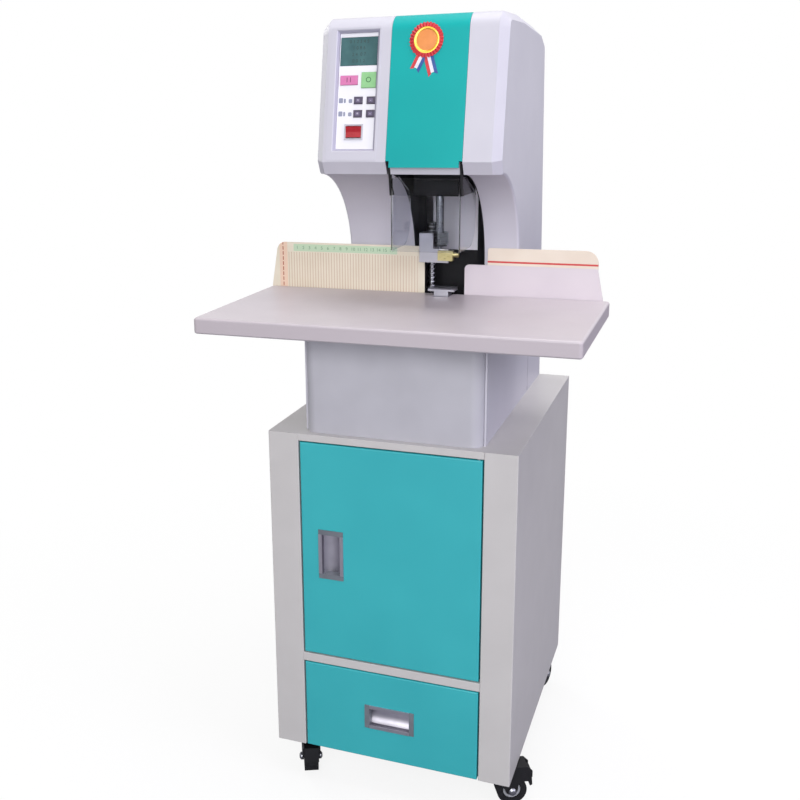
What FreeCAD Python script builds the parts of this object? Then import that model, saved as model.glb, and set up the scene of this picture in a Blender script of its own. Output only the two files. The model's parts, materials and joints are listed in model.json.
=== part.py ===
"""Document riveting machine: a drilling and riveting head on a wheeled cabinet.

Millimetres, +Z up, +X to the right, the front towards -Y. The origin is on the floor, under the
middle of the whole machine. Each piece is drawn with Y measured from the cabinet's front face and
its Placement then moves it to the shared origin.
"""
import FreeCAD, Part
import Sketcher
import math
import os
import re

Vector = FreeCAD.Vector

# Driving sizes in millimetres, and angles in degrees.
SIZES = {
    # Cabinet
    "cabinet_width": 400,
    "cabinet_depth": 480,
    "cabinet_height": 556,
    "side_panel_width": 51,
    "sheet_steel": 1.5,
    "deck_thick": 3,
    "rail_height": 11.5,
    "rail_depth": 22,
    "shelf_rail_height": 14.5,
    "pan_thick": 3,
    "panel_gap": 2.3,
    "floor_gap": 0.3,
    # Door and drawer
    "front_thick": 18,
    "drawer_front_height": 157,
    "drawer_box_depth": 400,
    "drawer_box_height": 105,
    "drawer_box_lift": 16,
    "drawer_side_gap": 16,
    "slide_level": 70,
    "slide_ledge": 13,
    "slide_clear": 0.3,
    "door_pivot_side": 8.5,
    "door_pivot_back": 6,
    "door_pivot_radius": 3,
    "door_pivot_clear": 0.06,
    "door_pivot_reach": 12,
    "door_edge_radius": 2,
    # Recessed pulls
    "pull_width": 42,
    "pull_length": 84,
    "pull_depth": 13,
    "pull_wall": 1.6,
    "pull_lip": 4,
    "pull_cap": 8,
    "pull_stand": 1.6,
    "door_pull_side": 50,
    "door_pull_level": 180,
    "drawer_pull_level": 77,
    # Casters
    "caster_height": 72,
    "caster_inset_side": 34,
    "caster_inset_end": 58,
    "caster_plate": 44,
    "caster_plate_thick": 2.5,
    "kingpin_radius": 6,
    "crown_radius": 19,
    "crown_height": 6,
    "swivel_clear": 0.3,
    "wheel_radius": 25,
    "wheel_width": 24,
    "wheel_trail": 25,
    "hub_radius": 15,
    "hub_recess": 2.5,
    "fork_wall": 2.5,
    "fork_clear": 0.8,
    "axle_radius": 3,
    "axle_head_radius": 6,
    "axle_head_thick": 3,
    "running_clear": 0.05,
    "brake_pin_radius": 2,
    "hood_reach": 58,
    "hood_drop": 27,
    "hood_nose": 8,
    "brake_reach": 20,
    "brake_drop": 24,
    "front_left_heading": 205,
    "front_right_heading": -64,
    "rear_left_heading": 20,
    "rear_right_heading": -15,
    # Machine base and shells
    "cover_setback": 13,
    "cover_radius": 18,
    "cover_wall": 2,
    "shell_half": 145,
    "shell_front": 28,
    "shell_wall": 3,
    "shell_rear_gap": 1.7,
    "slot_width": 119,
    "slot_offset": 29.2,
    "seam": 0.3,
    "column_front": 246,
    "arch_foot_rise": 59,
    "arch_radius": 152,
    "head_front": 85,
    "head_rise": 206,
    "chin_height": 19,
    "chin_setback": 10,
    "face_lean": 10.7,
    "head_height": 232,
    "brow_radius": 28,
    "crown_long": 115,
    "crown_end_inset": 69,
    "crown_drop": 9,
    "back_inset": 56,
    "back_drop": 41,
    "back_radius": 8,
    "face_bevel": 13,
    "inner_bevel": 11,
    "shell_edge_radius": 4,
    "panel_wall": 3,
    "tongue_drop": 8.2,
    "tongue_notch": 5.5,
    "notch_over": 1.3,
    # Table and guides
    "table_width": 585,
    "table_rise": 190,
    "table_thick": 25,
    "table_overhang": 61,
    "table_back": 240,
    "table_corner_radius": 6,
    "table_edge_radius": 4,
    "guide_thick": 1.5,
    "guide_drop": 16,
    "guide_height": 78,
    "guide_round": 16,
    "left_guide_lean": 13,
    "left_guide_end": -12,
    "right_guide_start": 56.5,
    "right_guide_end": 281.5,
    "right_guide_lean": 10,
    "right_guide_height": 50,
    "gauge_start": 94.5,
    "gauge_end": 272,
    "gauge_round": 20,
    # Press inside the throat
    "frame_left": -12,
    "frame_right": 66,
    "frame_front": 292,
    "frame_back_gap": 26,
    "frame_nose": 175,
    "frame_top_drop": 76,
    "frame_arm": 66,
    "frame_shelf_thick": 96,
    "frame_shelf_front": 204,
    "frame_foot_thick": 12,
    "frame_foot_reach": 26,
    "lining_wall": 2,
    "lining_back": 285,
    "lining_radius": 26,
    "drill_side": 17,
    "drill_depth": 228,
    "carriage_left": -18,
    "carriage_right": 60,
    "carriage_front": 196,
    "carriage_rise": 165,
    "carriage_height": 34,
    "motor_radius": 24,
    "motor_height": 78,
    "spindle_radius": 6.5,
    "spindle_rise": 99,
    "drill_radius": 3,
    "drill_wall": 0.8,
    "drill_rise": 69,
    "drill_grip": 8,
    "foot_left": -14,
    "foot_block_right": 9.5,
    "foot_right": 35,
    "foot_front": 215,
    "foot_back": 239.5,
    "foot_rise": 55,
    "foot_height": 48,
    "foot_plate": 5,
    "foot_web": 3,
    "foot_web_height": 23,
    "foot_slot_radius": 8,
    "post_side": -3,
    "post_depth": 254,
    "post_radius": 4,
    "post_lug_radius": 8,
    "post_lug_height": 16,
    "post_knob_height": 13,
    "seat_height": 22,
    "spring_wire": 2,
    "spring_radius": 5.8,
    "spring_turns": 8,
    "spring_sides": 5,
    "rivet_left": 20,
    "rivet_width": 25,
    "rivet_depth": 11,
    "rivet_height": 16,
    "rivet_screw_radius": 4.5,
    "rivet_screw_length": 9,
    "rivet_screw_rise": 10,
    "anvil_left": 2,
    "anvil_width": 44,
    "anvil_front": 212,
    "anvil_depth": 24,
    "anvil_rise": 13,
    "anvil_thick": 5,
    "anvil_inset": 10,
    "anvil_gap": 2,
    "anvil_chamfer": 2,
    # Safety guard
    "guard_wall": 2,
    "guard_side_gap": 5,
    "guard_front": 90,
    "guard_back": 196,
    "guard_rise": 90,
    "guard_height": 110,
    "guard_corner_radius": 9,
    "guard_heel_radius": 40,
    "guard_neck": 30,
    "guard_pivot_depth": 98,
    "guard_pivot_rise": 10,
    "guard_pin_radius": 2.5,
    "guard_arm_width": 13,
    "guard_arm_thick": 2.5,
    "guard_hook": 8,
    "ear_thick": 3.5,
    # Control panel, measured along the leaning face
    "bezel_left": -127,
    "bezel_width": 81.5,
    "bezel_low": 2,
    "bezel_height": 199,
    "bezel_lip": 2,
    "bezel_rim_left": 13,
    "bezel_rim_right": 6.5,
    "bezel_rim_low": 17.7,
    "bezel_rim_high": 6.5,
    "bezel_deep": 7,
    "bezel_floor": 2.5,
    "bezel_slope": 4,
    "bezel_proud": 0.6,
    "key_clear": 0.4,
    "key_rise": 1.6,
    "key_flange": 1.2,
    "window_left": -112.5,
    "window_width": 58.5,
    "window_low": 146,
    "window_height": 42,
    "rivet_key_left": -111,
    "rivet_key_width": 28,
    "rivet_key_low": 117,
    "rivet_key_height": 14,
    "drill_key_left": -77,
    "drill_key_width": 23.5,
    "drill_key_low": 112,
    "drill_key_height": 23.5,
    "small_key_width": 13.6,
    "small_key_height": 10.8,
    "small_key_left": -87.3,
    "small_key_step": 20.4,
    "small_key_low": 68.2,
    "small_key_rise": 20,
    "rocker_left": -99,
    "rocker_width": 27,
    "rocker_low": 35.5,
    "rocker_height": 21,
    "rocker_rim": 1.5,
    "rocker_wall": 1,
    "rocker_rim_thick": 1.5,
    "rocker_tip": 3,
    "rocker_play": 1.4,
    "rocker_pin_radius": 0.8,
    # Inlet and vents at the back
    "inlet_side": -70,
    "inlet_rise": 72,
    "inlet_width": 48,
    "inlet_height": 27.5,
    "inlet_mouth_width": 24.5,
    "inlet_mouth_height": 17,
    "inlet_deep": 26,
    "inlet_flange": 3,
    "inlet_mouth_deep": 17,
    "inlet_pin_width": 2,
    "inlet_pin_pitch": 7,
    "vent_count": 8,
    "vent_pitch": 11,
    "vent_height": 4,
    "vent_width": 150,
    "vent_rise": 332,
    # One overrun for every cut
    "overrun": 2,
}

# Places worked out from the sizes.
PLACES = {
    "front": "(table_overhang - cabinet_depth) / 2",
    "half_cabinet": "cabinet_width / 2",
    "panel_inner": "half_cabinet - side_panel_width",
    "deck_level": "caster_height + cabinet_height",
    "rail_bottom": "deck_level - rail_height",
    "drawer_top": "caster_height + drawer_front_height",
    "shelf_rail_bottom": "drawer_top + panel_gap",
    "shelf_top": "shelf_rail_bottom + shelf_rail_height",
    "door_bottom": "shelf_top + panel_gap",
    "door_top": "rail_bottom - panel_gap",
    "door_half": "panel_inner - panel_gap",
    "back_face": "cabinet_depth - sheet_steel",
    "door_axis_side": "panel_inner - door_pivot_side",
    "drawer_half": "panel_inner - drawer_side_gap",
    "slide_height": "caster_height + slide_level",
    "door_pull_centre": "0 - door_half + door_pull_side",
    "door_pull_height": "door_bottom + door_pull_level",
    "drawer_pull_height": "caster_height + drawer_pull_level",
    "slot_left": "slot_offset - slot_width / 2",
    "slot_right": "slot_offset + slot_width / 2",
    "table_height": "deck_level + table_rise",
    "ledge_level": "table_height - table_thick",
    "arch_foot_level": "table_height + arch_foot_rise",
    "head_bottom": "table_height + head_rise",
    "head_top": "head_bottom + head_height",
    "cover_half": "shell_half - shell_wall - seam",
    "shell_back_foot": "cabinet_depth - shell_rear_gap",
    "back_top": "cabinet_depth - back_inset",
    "crown_end": "back_top - crown_end_inset",
    "crown_start": "crown_end - crown_long",
    "chin_level": "head_bottom + chin_height",
    "floor_front": "head_front + chin_setback",
    "lip_front": "head_front + panel_wall + 2 * seam",
    "tongue_level": "chin_level - tongue_drop",
    "tongue_front": "head_front - tongue_drop * tan(face_lean)",
    "brow_depth": "head_front + (head_top - chin_level) * tan(face_lean)",
    "brow_inner_depth": "brow_depth + shell_wall / cos(face_lean) - shell_wall * tan(face_lean)",
    "brow_reach": "(brow_radius - shell_wall) * tan((90 - face_lean) / 2)",
    "back_top_level": "head_top - back_drop",
    "crown_end_level": "head_top - crown_drop",
    "cover_top": "ledge_level - floor_gap",
    "guide_low": "table_height - guide_drop",
    "guide_high": "table_height + guide_height",
    "left_guide_start": "seam - table_width / 2",
    "guide_face": "table_back + floor_gap",
    "gauge_face": "guide_face + guide_thick + floor_gap",
    "fork_half": "wheel_width / 2 + fork_clear",
    "wheel_level": "wheel_radius - caster_height",
    "crown_top": "0 - caster_plate_thick - swivel_clear",
    "crown_bottom": "crown_top - crown_height",
    "kingpin_end": "crown_bottom - axle_head_thick",
    "brake_depth": "wheel_trail + brake_reach",
    "hood_low": "crown_top - hood_drop",
    "brake_level": "crown_top - hood_drop / 2",
    "frame_back": "back_top - frame_back_gap",
    "frame_top": "head_top - frame_top_drop",
    "frame_shelf": "ledge_level - 2 * seam",
    "frame_low_arm": "frame_shelf - frame_shelf_thick",
    "frame_high_arm": "frame_top - frame_arm",
    "carriage_back": "frame_front - floor_gap",
    "carriage_bottom": "table_height + carriage_rise",
    "carriage_top": "carriage_bottom + carriage_height",
    "spindle_foot": "table_height + spindle_rise",
    "drill_top": "spindle_foot + drill_grip",
    "drill_tip": "table_height + drill_rise",
    "foot_bottom": "table_height + foot_rise",
    "foot_top": "foot_bottom + foot_height",
    "post_top": "foot_top + swivel_clear",
    "anvil_top": "table_height + anvil_rise",
    "pedestal_left": "anvil_left + anvil_inset",
    "pedestal_width": "anvil_width - 2 * anvil_inset",
    "notch_left": "pedestal_left - anvil_gap",
    "notch_right": "pedestal_left + pedestal_width + anvil_gap",
    "notch_front": "anvil_front - 3 * anvil_gap",
    "guard_left": "slot_left + guard_side_gap",
    "guard_right": "slot_right - guard_side_gap",
    "guard_bottom": "table_height + guard_rise",
    "guard_top": "guard_bottom + guard_height",
    "ear_inset": "tongue_notch + seam",
    "guard_pivot_level": "head_bottom + guard_pivot_rise",
    "floor_back": "frame_front - floor_gap",
    "bezel_top_side": "bezel_left + bezel_width",
    "bezel_high": "bezel_low + bezel_height",
    "plate_level": "0 - bezel_deep",
    "plate_back": "0 - bezel_deep - bezel_floor",
    "inlet_level": "deck_level + inlet_rise",
    "vent_level": "deck_level + vent_rise",
    "back_slope": "(shell_back_foot - back_top) / (back_top_level - deck_level)",
    "rear_top": "back_top_level - 2 * shell_wall",
    "rear_top_depth": "back_top + 2 * shell_wall * back_slope",
    "inlet_depth": "shell_back_foot - inlet_rise * back_slope",
    "back_lean": "atan(back_slope)",
}

CASTERS = {
    "fl": ("0 - half_cabinet + caster_inset_side", "caster_inset_end", "front_left_heading"),
    "fr": ("half_cabinet - caster_inset_side", "caster_inset_end", "front_right_heading"),
    "rl": ("0 - half_cabinet + caster_inset_side", "cabinet_depth - caster_inset_end", "rear_left_heading"),
    "rr": ("half_cabinet - caster_inset_side", "cabinet_depth - caster_inset_end", "rear_right_heading"),
}

# How closely an edge has to lie on a place to be taken for it.
NEAR = 0.02

doc = FreeCAD.newDocument("riveting_machine")
WORD = re.compile(r"[a-z][a-z0-9_]*")
sub_parts = []


def make_sheets():
    """Put the driving sizes and the places into two sheets."""
    sizes = doc.addObject("Spreadsheet::Sheet", "Sizes")
    for row, (name, size) in enumerate(SIZES.items(), start=1):
        sizes.set(f"A{row}", name)
        sizes.set(f"B{row}", str(size))
        sizes.setAlias(f"B{row}", name)
    doc.recompute()
    places = doc.addObject("Spreadsheet::Sheet", "Places")
    for row, (name, text) in enumerate(PLACES.items(), start=1):
        places.set(f"A{row}", name)
        places.set(f"B{row}", "=" + formula(text))
        places.setAlias(f"B{row}", name)
        places.recompute()
    doc.recompute()
    return doc.addObject("Spreadsheet::Sheet", "Reading")


def formula(text):
    """The text with each size and place under the name of its sheet."""
    def under_sheet(match):
        word = match.group()
        if word in SIZES:
            return "Sizes." + word
        if word in PLACES:
            return "Places." + word
        return word
    return WORD.sub(under_sheet, text)


reading = make_sheets()


def number(text):
    """The value of one formula, read through a cell."""
    reading.set("A1", "=" + formula(text))
    reading.recompute()
    return float(reading.get("A1"))


def bind(item, target, text):
    """Bind one property of an object to a formula."""
    item.setExpression(target, formula(text))


def origin_plane(body, role):
    """One of the body's own three planes."""
    return [feature for feature in body.Origin.OriginFeatures if feature.Role == role][0]


def corner_points(outline):
    """The corners of an outline as vectors."""
    return [Vector(number(corner[0]), number(corner[1]), 0) for corner in outline]


def arc_through(start, end, radius, side):
    """An arc of the radius from start to end that bulges to one side of the way."""
    chord = end - start
    half = chord.Length / 2
    rise = radius - math.sqrt(max(radius * radius - half * half, 0))
    right = Vector(chord.y, -chord.x, 0).normalize()
    middle = (start + end) * 0.5 + right * (rise if side == "right" else -rise)
    if side == "right":
        return Part.Arc(start, middle, end), 1, 2
    return Part.Arc(end, middle, start), 2, 1


def draw_outline(sketch, outline):
    """Draw a closed outline, each corner bound to its formulas.

    A corner is (across, up), or (across, up, radius, side) where an arc starts there.
    """
    points = corner_points(outline)
    ends = []
    for index, corner in enumerate(outline):
        start = points[index]
        end = points[(index + 1) % len(points)]
        if len(corner) == 4:
            curve, first, last = arc_through(start, end, number(corner[2]), corner[3])
        else:
            curve, first, last = Part.LineSegment(start, end), 1, 2
        ends.append((sketch.addGeometry(curve, False), first, last))
    for index, (edge, first, last) in enumerate(ends):
        following, next_first, next_last = ends[(index + 1) % len(ends)]
        sketch.addConstraint(Sketcher.Constraint("Coincident", edge, last, following, next_first))
    for (edge, first, last), corner, point in zip(ends, outline, points):
        across = sketch.addConstraint(Sketcher.Constraint("DistanceX", -1, 1, edge, first, point.x))
        bind(sketch, f"Constraints[{across}]", corner[0])
        up = sketch.addConstraint(Sketcher.Constraint("DistanceY", -1, 1, edge, first, point.y))
        bind(sketch, f"Constraints[{up}]", corner[1])
        if len(corner) == 4:
            bow = sketch.addConstraint(Sketcher.Constraint("Radius", edge, number(corner[2])))
            bind(sketch, f"Constraints[{bow}]", corner[2])


def add_sketch(body, name, role, outline, start):
    """A sketch on one of the body's planes, set off along the plane's normal."""
    sketch = body.newObject("Sketcher::SketchObject", name)
    sketch.AttachmentSupport = [(origin_plane(body, role), "")]
    sketch.MapMode = "FlatFace"
    bind(sketch, "AttachmentOffset.Base.z", start)
    draw_outline(sketch, outline)
    return sketch


def pad_body(name, role, outline, start, length):
    """A body whose first feature is a padded outline."""
    body = doc.addObject("PartDesign::Body", name)
    add_pad(body, name + "_pad", role, outline, start, length)
    return body


def add_pad(body, name, role, outline, start, length):
    """Add one padded outline to a body."""
    sketch = add_sketch(body, name + "_outline", role, outline, start)
    pad = body.newObject("PartDesign::Pad", name)
    pad.Profile = sketch
    bind(pad, "Length", length)
    doc.recompute()
    return pad


def add_pocket(body, name, role, outline, start, length):
    """Cut one outline out of a body, along the normal of its plane."""
    before = body.Tip.Shape.Volume
    sketch = add_sketch(body, name + "_outline", role, outline, start)
    pocket = body.newObject("PartDesign::Pocket", name)
    pocket.Profile = sketch
    pocket.Reversed = True
    bind(pocket, "Length", length)
    doc.recompute()
    if not pocket.Shape.Volume < before:
        raise ValueError(f"{name} cuts nothing")
    return pocket


def edge_names(shape, test):
    """The names of the edges of a shape that pass a test."""
    return [f"Edge{index}" for index, edge in enumerate(shape.Edges, start=1) if test(edge)]


def add_dressing(body, kind, name, test, size_name, size_text):
    """A fillet or a chamfer on the edges of the body's last feature that pass a test."""
    tip = body.Tip
    names = edge_names(tip.Shape, test)
    if not names:
        raise ValueError(f"{name} finds no edge")
    dressing = body.newObject(kind, name)
    dressing.Base = (tip, names)
    bind(dressing, size_name, size_text)
    doc.recompute()
    return dressing


def round_edges(body, name, test, radius):
    """Round the edges that pass a test."""
    return add_dressing(body, "PartDesign::Fillet", name, test, "Radius", radius)


def bevel_edges(body, name, test, size):
    """Bevel the edges that pass a test."""
    return add_dressing(body, "PartDesign::Chamfer", name, test, "Size", size)


def hollow_out(body, name, test, wall):
    """Turn the body into a shell that is open at the faces that pass a test."""
    tip = body.Tip
    faces = [f"Face{index}" for index, face in enumerate(tip.Shape.Faces, start=1) if test(face)]
    hollow = body.newObject("PartDesign::Thickness", name)
    hollow.Base = (tip, faces)
    hollow.Reversed = True
    bind(hollow, "Value", wall)
    doc.recompute()
    if not hollow.Shape.Volume < tip.Shape.Volume:
        raise ValueError(f"{name} isn't hollow")
    return hollow


def runs_along(edge, axis):
    """Whether an edge is straight and parallel to an axis, 0 for X, 1 for Y or 2 for Z."""
    first = edge.Vertexes[0].Point
    last = edge.Vertexes[-1].Point
    gaps = [abs(first[i] - last[i]) for i in range(3)]
    others = sum(gaps) - gaps[axis]
    return others < NEAR < gaps[axis]


def lies_at(shape, axis, place):
    """Whether a whole edge or face lies at one place along an axis."""
    box = shape.BoundBox
    low = (box.XMin, box.YMin, box.ZMin)[axis]
    high = (box.XMax, box.YMax, box.ZMax)[axis]
    return abs(low - place) < NEAR and abs(high - place) < NEAR


def rectangle(left, low, right, high):
    """The four corners of a rectangle."""
    return [(left, low), (right, low), (right, high), (left, high)]


def block(name, size, low_corner):
    """A box with its three sizes and its low corner as formulas."""
    item = doc.addObject("Part::Box", name)
    for target, text in zip(("Length", "Width", "Height"), size):
        bind(item, target, text)
    for target, text in zip("xyz", low_corner):
        bind(item, "Placement.Base." + target, text)
    return item


def rod(name, radius, length, foot, axis="z", sides=0):
    """A cylinder, or a prism of so many sides, that stands on its foot point and runs along an axis."""
    item = doc.addObject("Part::Prism" if sides else "Part::Cylinder", name)
    if sides:
        item.Polygon = sides
    if axis == "x":
        item.Placement = FreeCAD.Placement(Vector(), FreeCAD.Rotation(Vector(0, 1, 0), 90))
    elif axis == "y":
        item.Placement = FreeCAD.Placement(Vector(), FreeCAD.Rotation(Vector(1, 0, 0), -90))
    bind(item, "Circumradius" if sides else "Radius", radius)
    bind(item, "Height", length)
    for target, text in zip("xyz", foot):
        bind(item, "Placement.Base." + target, text)
    return item


def join(name, pieces):
    """One solid from several that touch."""
    item = doc.addObject("Part::MultiFuse", name)
    item.Shapes = pieces
    item.Refine = True
    return item


def cut_out(name, piece, tools):
    """A piece less one or more tools."""
    tool = tools[0] if len(tools) == 1 else join(name + "_tools", tools)
    item = doc.addObject("Part::Cut", name)
    item.Base = piece
    item.Tool = tool
    item.Refine = True
    return item


def group(name, pieces):
    """Separate solids that share one name."""
    item = doc.addObject("Part::Compound", name)
    item.Links = pieces
    return item


def keep(item, label, at=("0", "0", "0"), turn=None):
    """Name a finished sub-part and place it, with Y from the cabinet's front."""
    item.Label = label
    if turn:
        axis, angle = turn
        item.Placement = FreeCAD.Placement(Vector(), FreeCAD.Rotation(axis, 1))
        bind(item, "Placement.Rotation.Angle", angle)
    bind(item, "Placement.Base.x", at[0])
    bind(item, "Placement.Base.y", "front + " + at[1])
    bind(item, "Placement.Base.z", at[2])
    sub_parts.append(item)
    return item


def mirrored(left, right, is_left):
    """The low and the high side of a piece, or of its mirror image."""
    if is_left:
        return f"0 - ({right})", f"0 - ({left})"
    return left, right


# Cabinet


def cabinet_side(label, is_left):
    """A deep folded side panel, open behind and below, seated on the floor pan."""
    low, high = mirrored("panel_inner", "half_cabinet", is_left)
    hollow_low, hollow_high = mirrored("panel_inner + sheet_steel", "half_cabinet - sheet_steel", is_left)
    step_low, step_high = mirrored("panel_inner - overrun", "half_cabinet - sheet_steel", is_left)
    body = pad_body(label, "XY_Plane", rectangle(low, "0", high, "back_face"),
                    "caster_height", "cabinet_height")
    round_edges(body, label + "_front_edges",
                lambda edge: runs_along(edge, 2) and lies_at(edge, 1, 0), "sheet_steel")
    add_pocket(body, label + "_hollow", "XY_Plane",
               rectangle(hollow_low, "sheet_steel", hollow_high, "back_face + overrun"),
               "caster_height - overrun", "cabinet_height - sheet_steel + overrun")
    add_pocket(body, label + "_pan_step", "XY_Plane",
               rectangle(step_low, "rail_depth", step_high, "back_face + overrun"),
               "caster_height - overrun", "pan_thick + overrun")
    keep(body, label)


def cabinet_floor_pan():
    """The pan that the side panels stand on, with its back edge turned up."""
    half = "(half_cabinet - sheet_steel)"
    outline = [
        ("rail_depth", "caster_height"), ("back_face", "caster_height"),
        ("back_face", "caster_height + rail_depth"), ("back_face - pan_thick", "caster_height + rail_depth"),
        ("back_face - pan_thick", "caster_height + pan_thick"), ("rail_depth", "caster_height + pan_thick"),
    ]
    body = pad_body("pan", "YZ_Plane", outline, "0 - panel_inner", "2 * panel_inner")
    for is_left in (True, False):
        side = "left" if is_left else "right"
        start = f"0 - {half}" if is_left else "panel_inner - overrun"
        add_pad(body, "pan_wing_" + side, "XY_Plane",
                rectangle(start, "rail_depth", f"({start}) + {half} - panel_inner + overrun", "back_face"),
                "caster_height", "pan_thick")
    keep(body, "cabinet_floor_pan")


def cabinet_back_panel():
    """The flat back with a rolled cable hole."""
    plate = block("back_plate", ("cabinet_width", "sheet_steel", "cabinet_height"),
                  ("0 - half_cabinet", "back_face", "caster_height"))
    hole = rod("back_hole", "pull_width / 2", "sheet_steel + 2 * overrun",
               ("0", "back_face - overrun", "deck_level - pull_length"), "y")
    keep(cut_out("back_panel", plate, [hole]), "cabinet_back_panel")


def cabinet_top_deck():
    """The deck between the side panels, its front folded down into the rail above the door."""
    outline = [
        ("0", "rail_bottom"), ("rail_depth", "rail_bottom"), ("rail_depth", "rail_bottom + sheet_steel"),
        ("sheet_steel", "rail_bottom + sheet_steel"), ("sheet_steel", "deck_level - deck_thick"),
        ("back_face", "deck_level - deck_thick"), ("back_face", "deck_level"), ("0", "deck_level"),
    ]
    body = pad_body("deck", "YZ_Plane", outline, "0 - panel_inner", "2 * panel_inner")
    round_edges(body, "deck_nose",
                lambda edge: runs_along(edge, 0) and lies_at(edge, 1, 0), "sheet_steel / 2")
    add_pocket(body, "deck_opening", "XY_Plane",
               rectangle("pull_width - panel_inner", "column_front", "frame_left - frame_foot_reach",
                         "frame_back"),
               "deck_level - deck_thick - overrun", "deck_thick + 2 * overrun")
    hole = rod("deck_pivot_hole", "door_pivot_radius", "sheet_steel + 2 * overrun",
               ("door_axis_side", "door_pivot_back", "rail_bottom - overrun"))
    keep(cut_out("top_deck", body, [hole]), "cabinet_top_deck")


def cabinet_mid_shelf():
    """The shelf between the door's space and the drawer's, with a folded rail in front."""
    outline = [
        ("0", "shelf_rail_bottom"), ("rail_depth", "shelf_rail_bottom"),
        ("rail_depth", "shelf_rail_bottom + sheet_steel"), ("sheet_steel", "shelf_rail_bottom + sheet_steel"),
        ("sheet_steel", "shelf_top - sheet_steel"), ("back_face", "shelf_top - sheet_steel"),
        ("back_face", "shelf_top"), ("0", "shelf_top"),
    ]
    body = pad_body("shelf", "YZ_Plane", outline, "0 - panel_inner", "2 * panel_inner")
    round_edges(body, "shelf_nose",
                lambda edge: runs_along(edge, 0) and lies_at(edge, 1, 0), "sheet_steel / 2")
    hole = rod("shelf_pivot_hole", "door_pivot_radius", "sheet_steel + 2 * overrun",
               ("door_axis_side", "door_pivot_back", "shelf_top - sheet_steel - overrun"))
    keep(cut_out("mid_shelf", body, [hole]), "cabinet_mid_shelf")


def door_pivots():
    """The two pins that the door turns on, each through its rail."""
    low = rod("pivot_low", "door_pivot_radius", "door_pivot_reach",
              ("door_axis_side", "door_pivot_back", "shelf_top - sheet_steel"))
    high = rod("pivot_high", "door_pivot_radius", "door_pivot_reach",
               ("door_axis_side", "door_pivot_back", "rail_bottom + sheet_steel - door_pivot_reach"))
    keep(group("pivots", [low, high]), "door_pivots")


def drawer_runners():
    """An angle on each side panel, which carries the drawer's flange."""
    pieces = []
    for is_left in (True, False):
        side = "left" if is_left else "right"
        low, high = mirrored("panel_inner - slide_ledge", "panel_inner", is_left)
        inner = "0 - panel_inner" if is_left else "panel_inner - slide_ledge"
        wall = "0 - panel_inner" if is_left else "panel_inner - sheet_steel"
        ledge = block("ledge_" + side, ("slide_ledge", "drawer_box_depth", "sheet_steel"),
                      (inner, "rail_depth + floor_gap", "slide_height - sheet_steel - slide_clear"))
        upright = block("upright_" + side, ("sheet_steel", "drawer_box_depth", "slide_ledge"),
                        (wall, "rail_depth + floor_gap", "slide_height - sheet_steel - slide_clear"))
        pieces.append(join("runner_" + side, [ledge, upright]))
    keep(group("runners", pieces), "drawer_runners")


# Door and drawer


def front_tray(name, low, high):
    """A folded front of the cabinet, open behind, with its four outer edges rounded."""
    body = pad_body(name, "XY_Plane", rectangle("0 - door_half", "0", "door_half", "front_thick"),
                    low, f"{high} - ({low})")
    round_edges(body, name + "_edges",
                lambda edge: lies_at(edge, 1, 0), "door_edge_radius")
    hollow_out(body, name + "_hollow",
               lambda face: lies_at(face, 1, number("front_thick")), "sheet_steel")
    return body


def pull_opening(name, side, level, upright):
    """The cut for a recessed pull through a front."""
    long_way = "pull_length - 2 * pull_lip"
    short_way = "pull_width - 2 * pull_lip"
    across, tall = (short_way, long_way) if upright else (long_way, short_way)
    return block(name, (across, "sheet_steel + 2 * overrun", tall),
                 (f"{side} - ({across}) / 2", "0 - overrun", f"{level} - ({tall}) / 2"))


def door_panel():
    """The door: a folded tray with holes for its pivots and its pull."""
    tray = front_tray("door_tray", "door_bottom", "door_top")
    opening = pull_opening("door_pull_hole", "door_pull_centre", "door_pull_height", True)
    bore = rod("door_bore", "door_pivot_radius + door_pivot_clear", "door_top - door_bottom + 2 * overrun",
               ("door_axis_side", "door_pivot_back", "door_bottom - overrun"))
    keep(cut_out("door", tray, [opening, bore]), "door_panel")


def drawer_front():
    """The drawer's front: the same folded tray, lower."""
    tray = front_tray("drawer_front_tray", "caster_height", "drawer_top")
    opening = pull_opening("drawer_pull_hole", "0", "drawer_pull_height", False)
    keep(cut_out("drawer_front_cut", tray, [opening]), "drawer_front")


def drawer_tray():
    """The drawer box, open above, with a flange on each side that rides on the runner."""
    body = pad_body("drawer_box", "XY_Plane",
                    rectangle("0 - drawer_half", "front_thick", "drawer_half",
                              "front_thick + drawer_box_depth"),
                    "caster_height + drawer_box_lift", "drawer_box_height")
    hollow_out(body, "drawer_box_hollow",
               lambda face: lies_at(face, 2, number("caster_height + drawer_box_lift + drawer_box_height")),
               "sheet_steel")
    pieces = [body]
    for is_left in (True, False):
        side = "left" if is_left else "right"
        reach = "drawer_side_gap - sheet_steel - floor_gap"
        inner = "0 - drawer_half - (" + reach + ")" if is_left else "drawer_half"
        pieces.append(block("drawer_flange_" + side, (reach, "drawer_box_depth", "sheet_steel"),
                            (inner, "front_thick", "slide_height")))
    keep(join("drawer_box_flanged", pieces), "drawer_tray")


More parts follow.
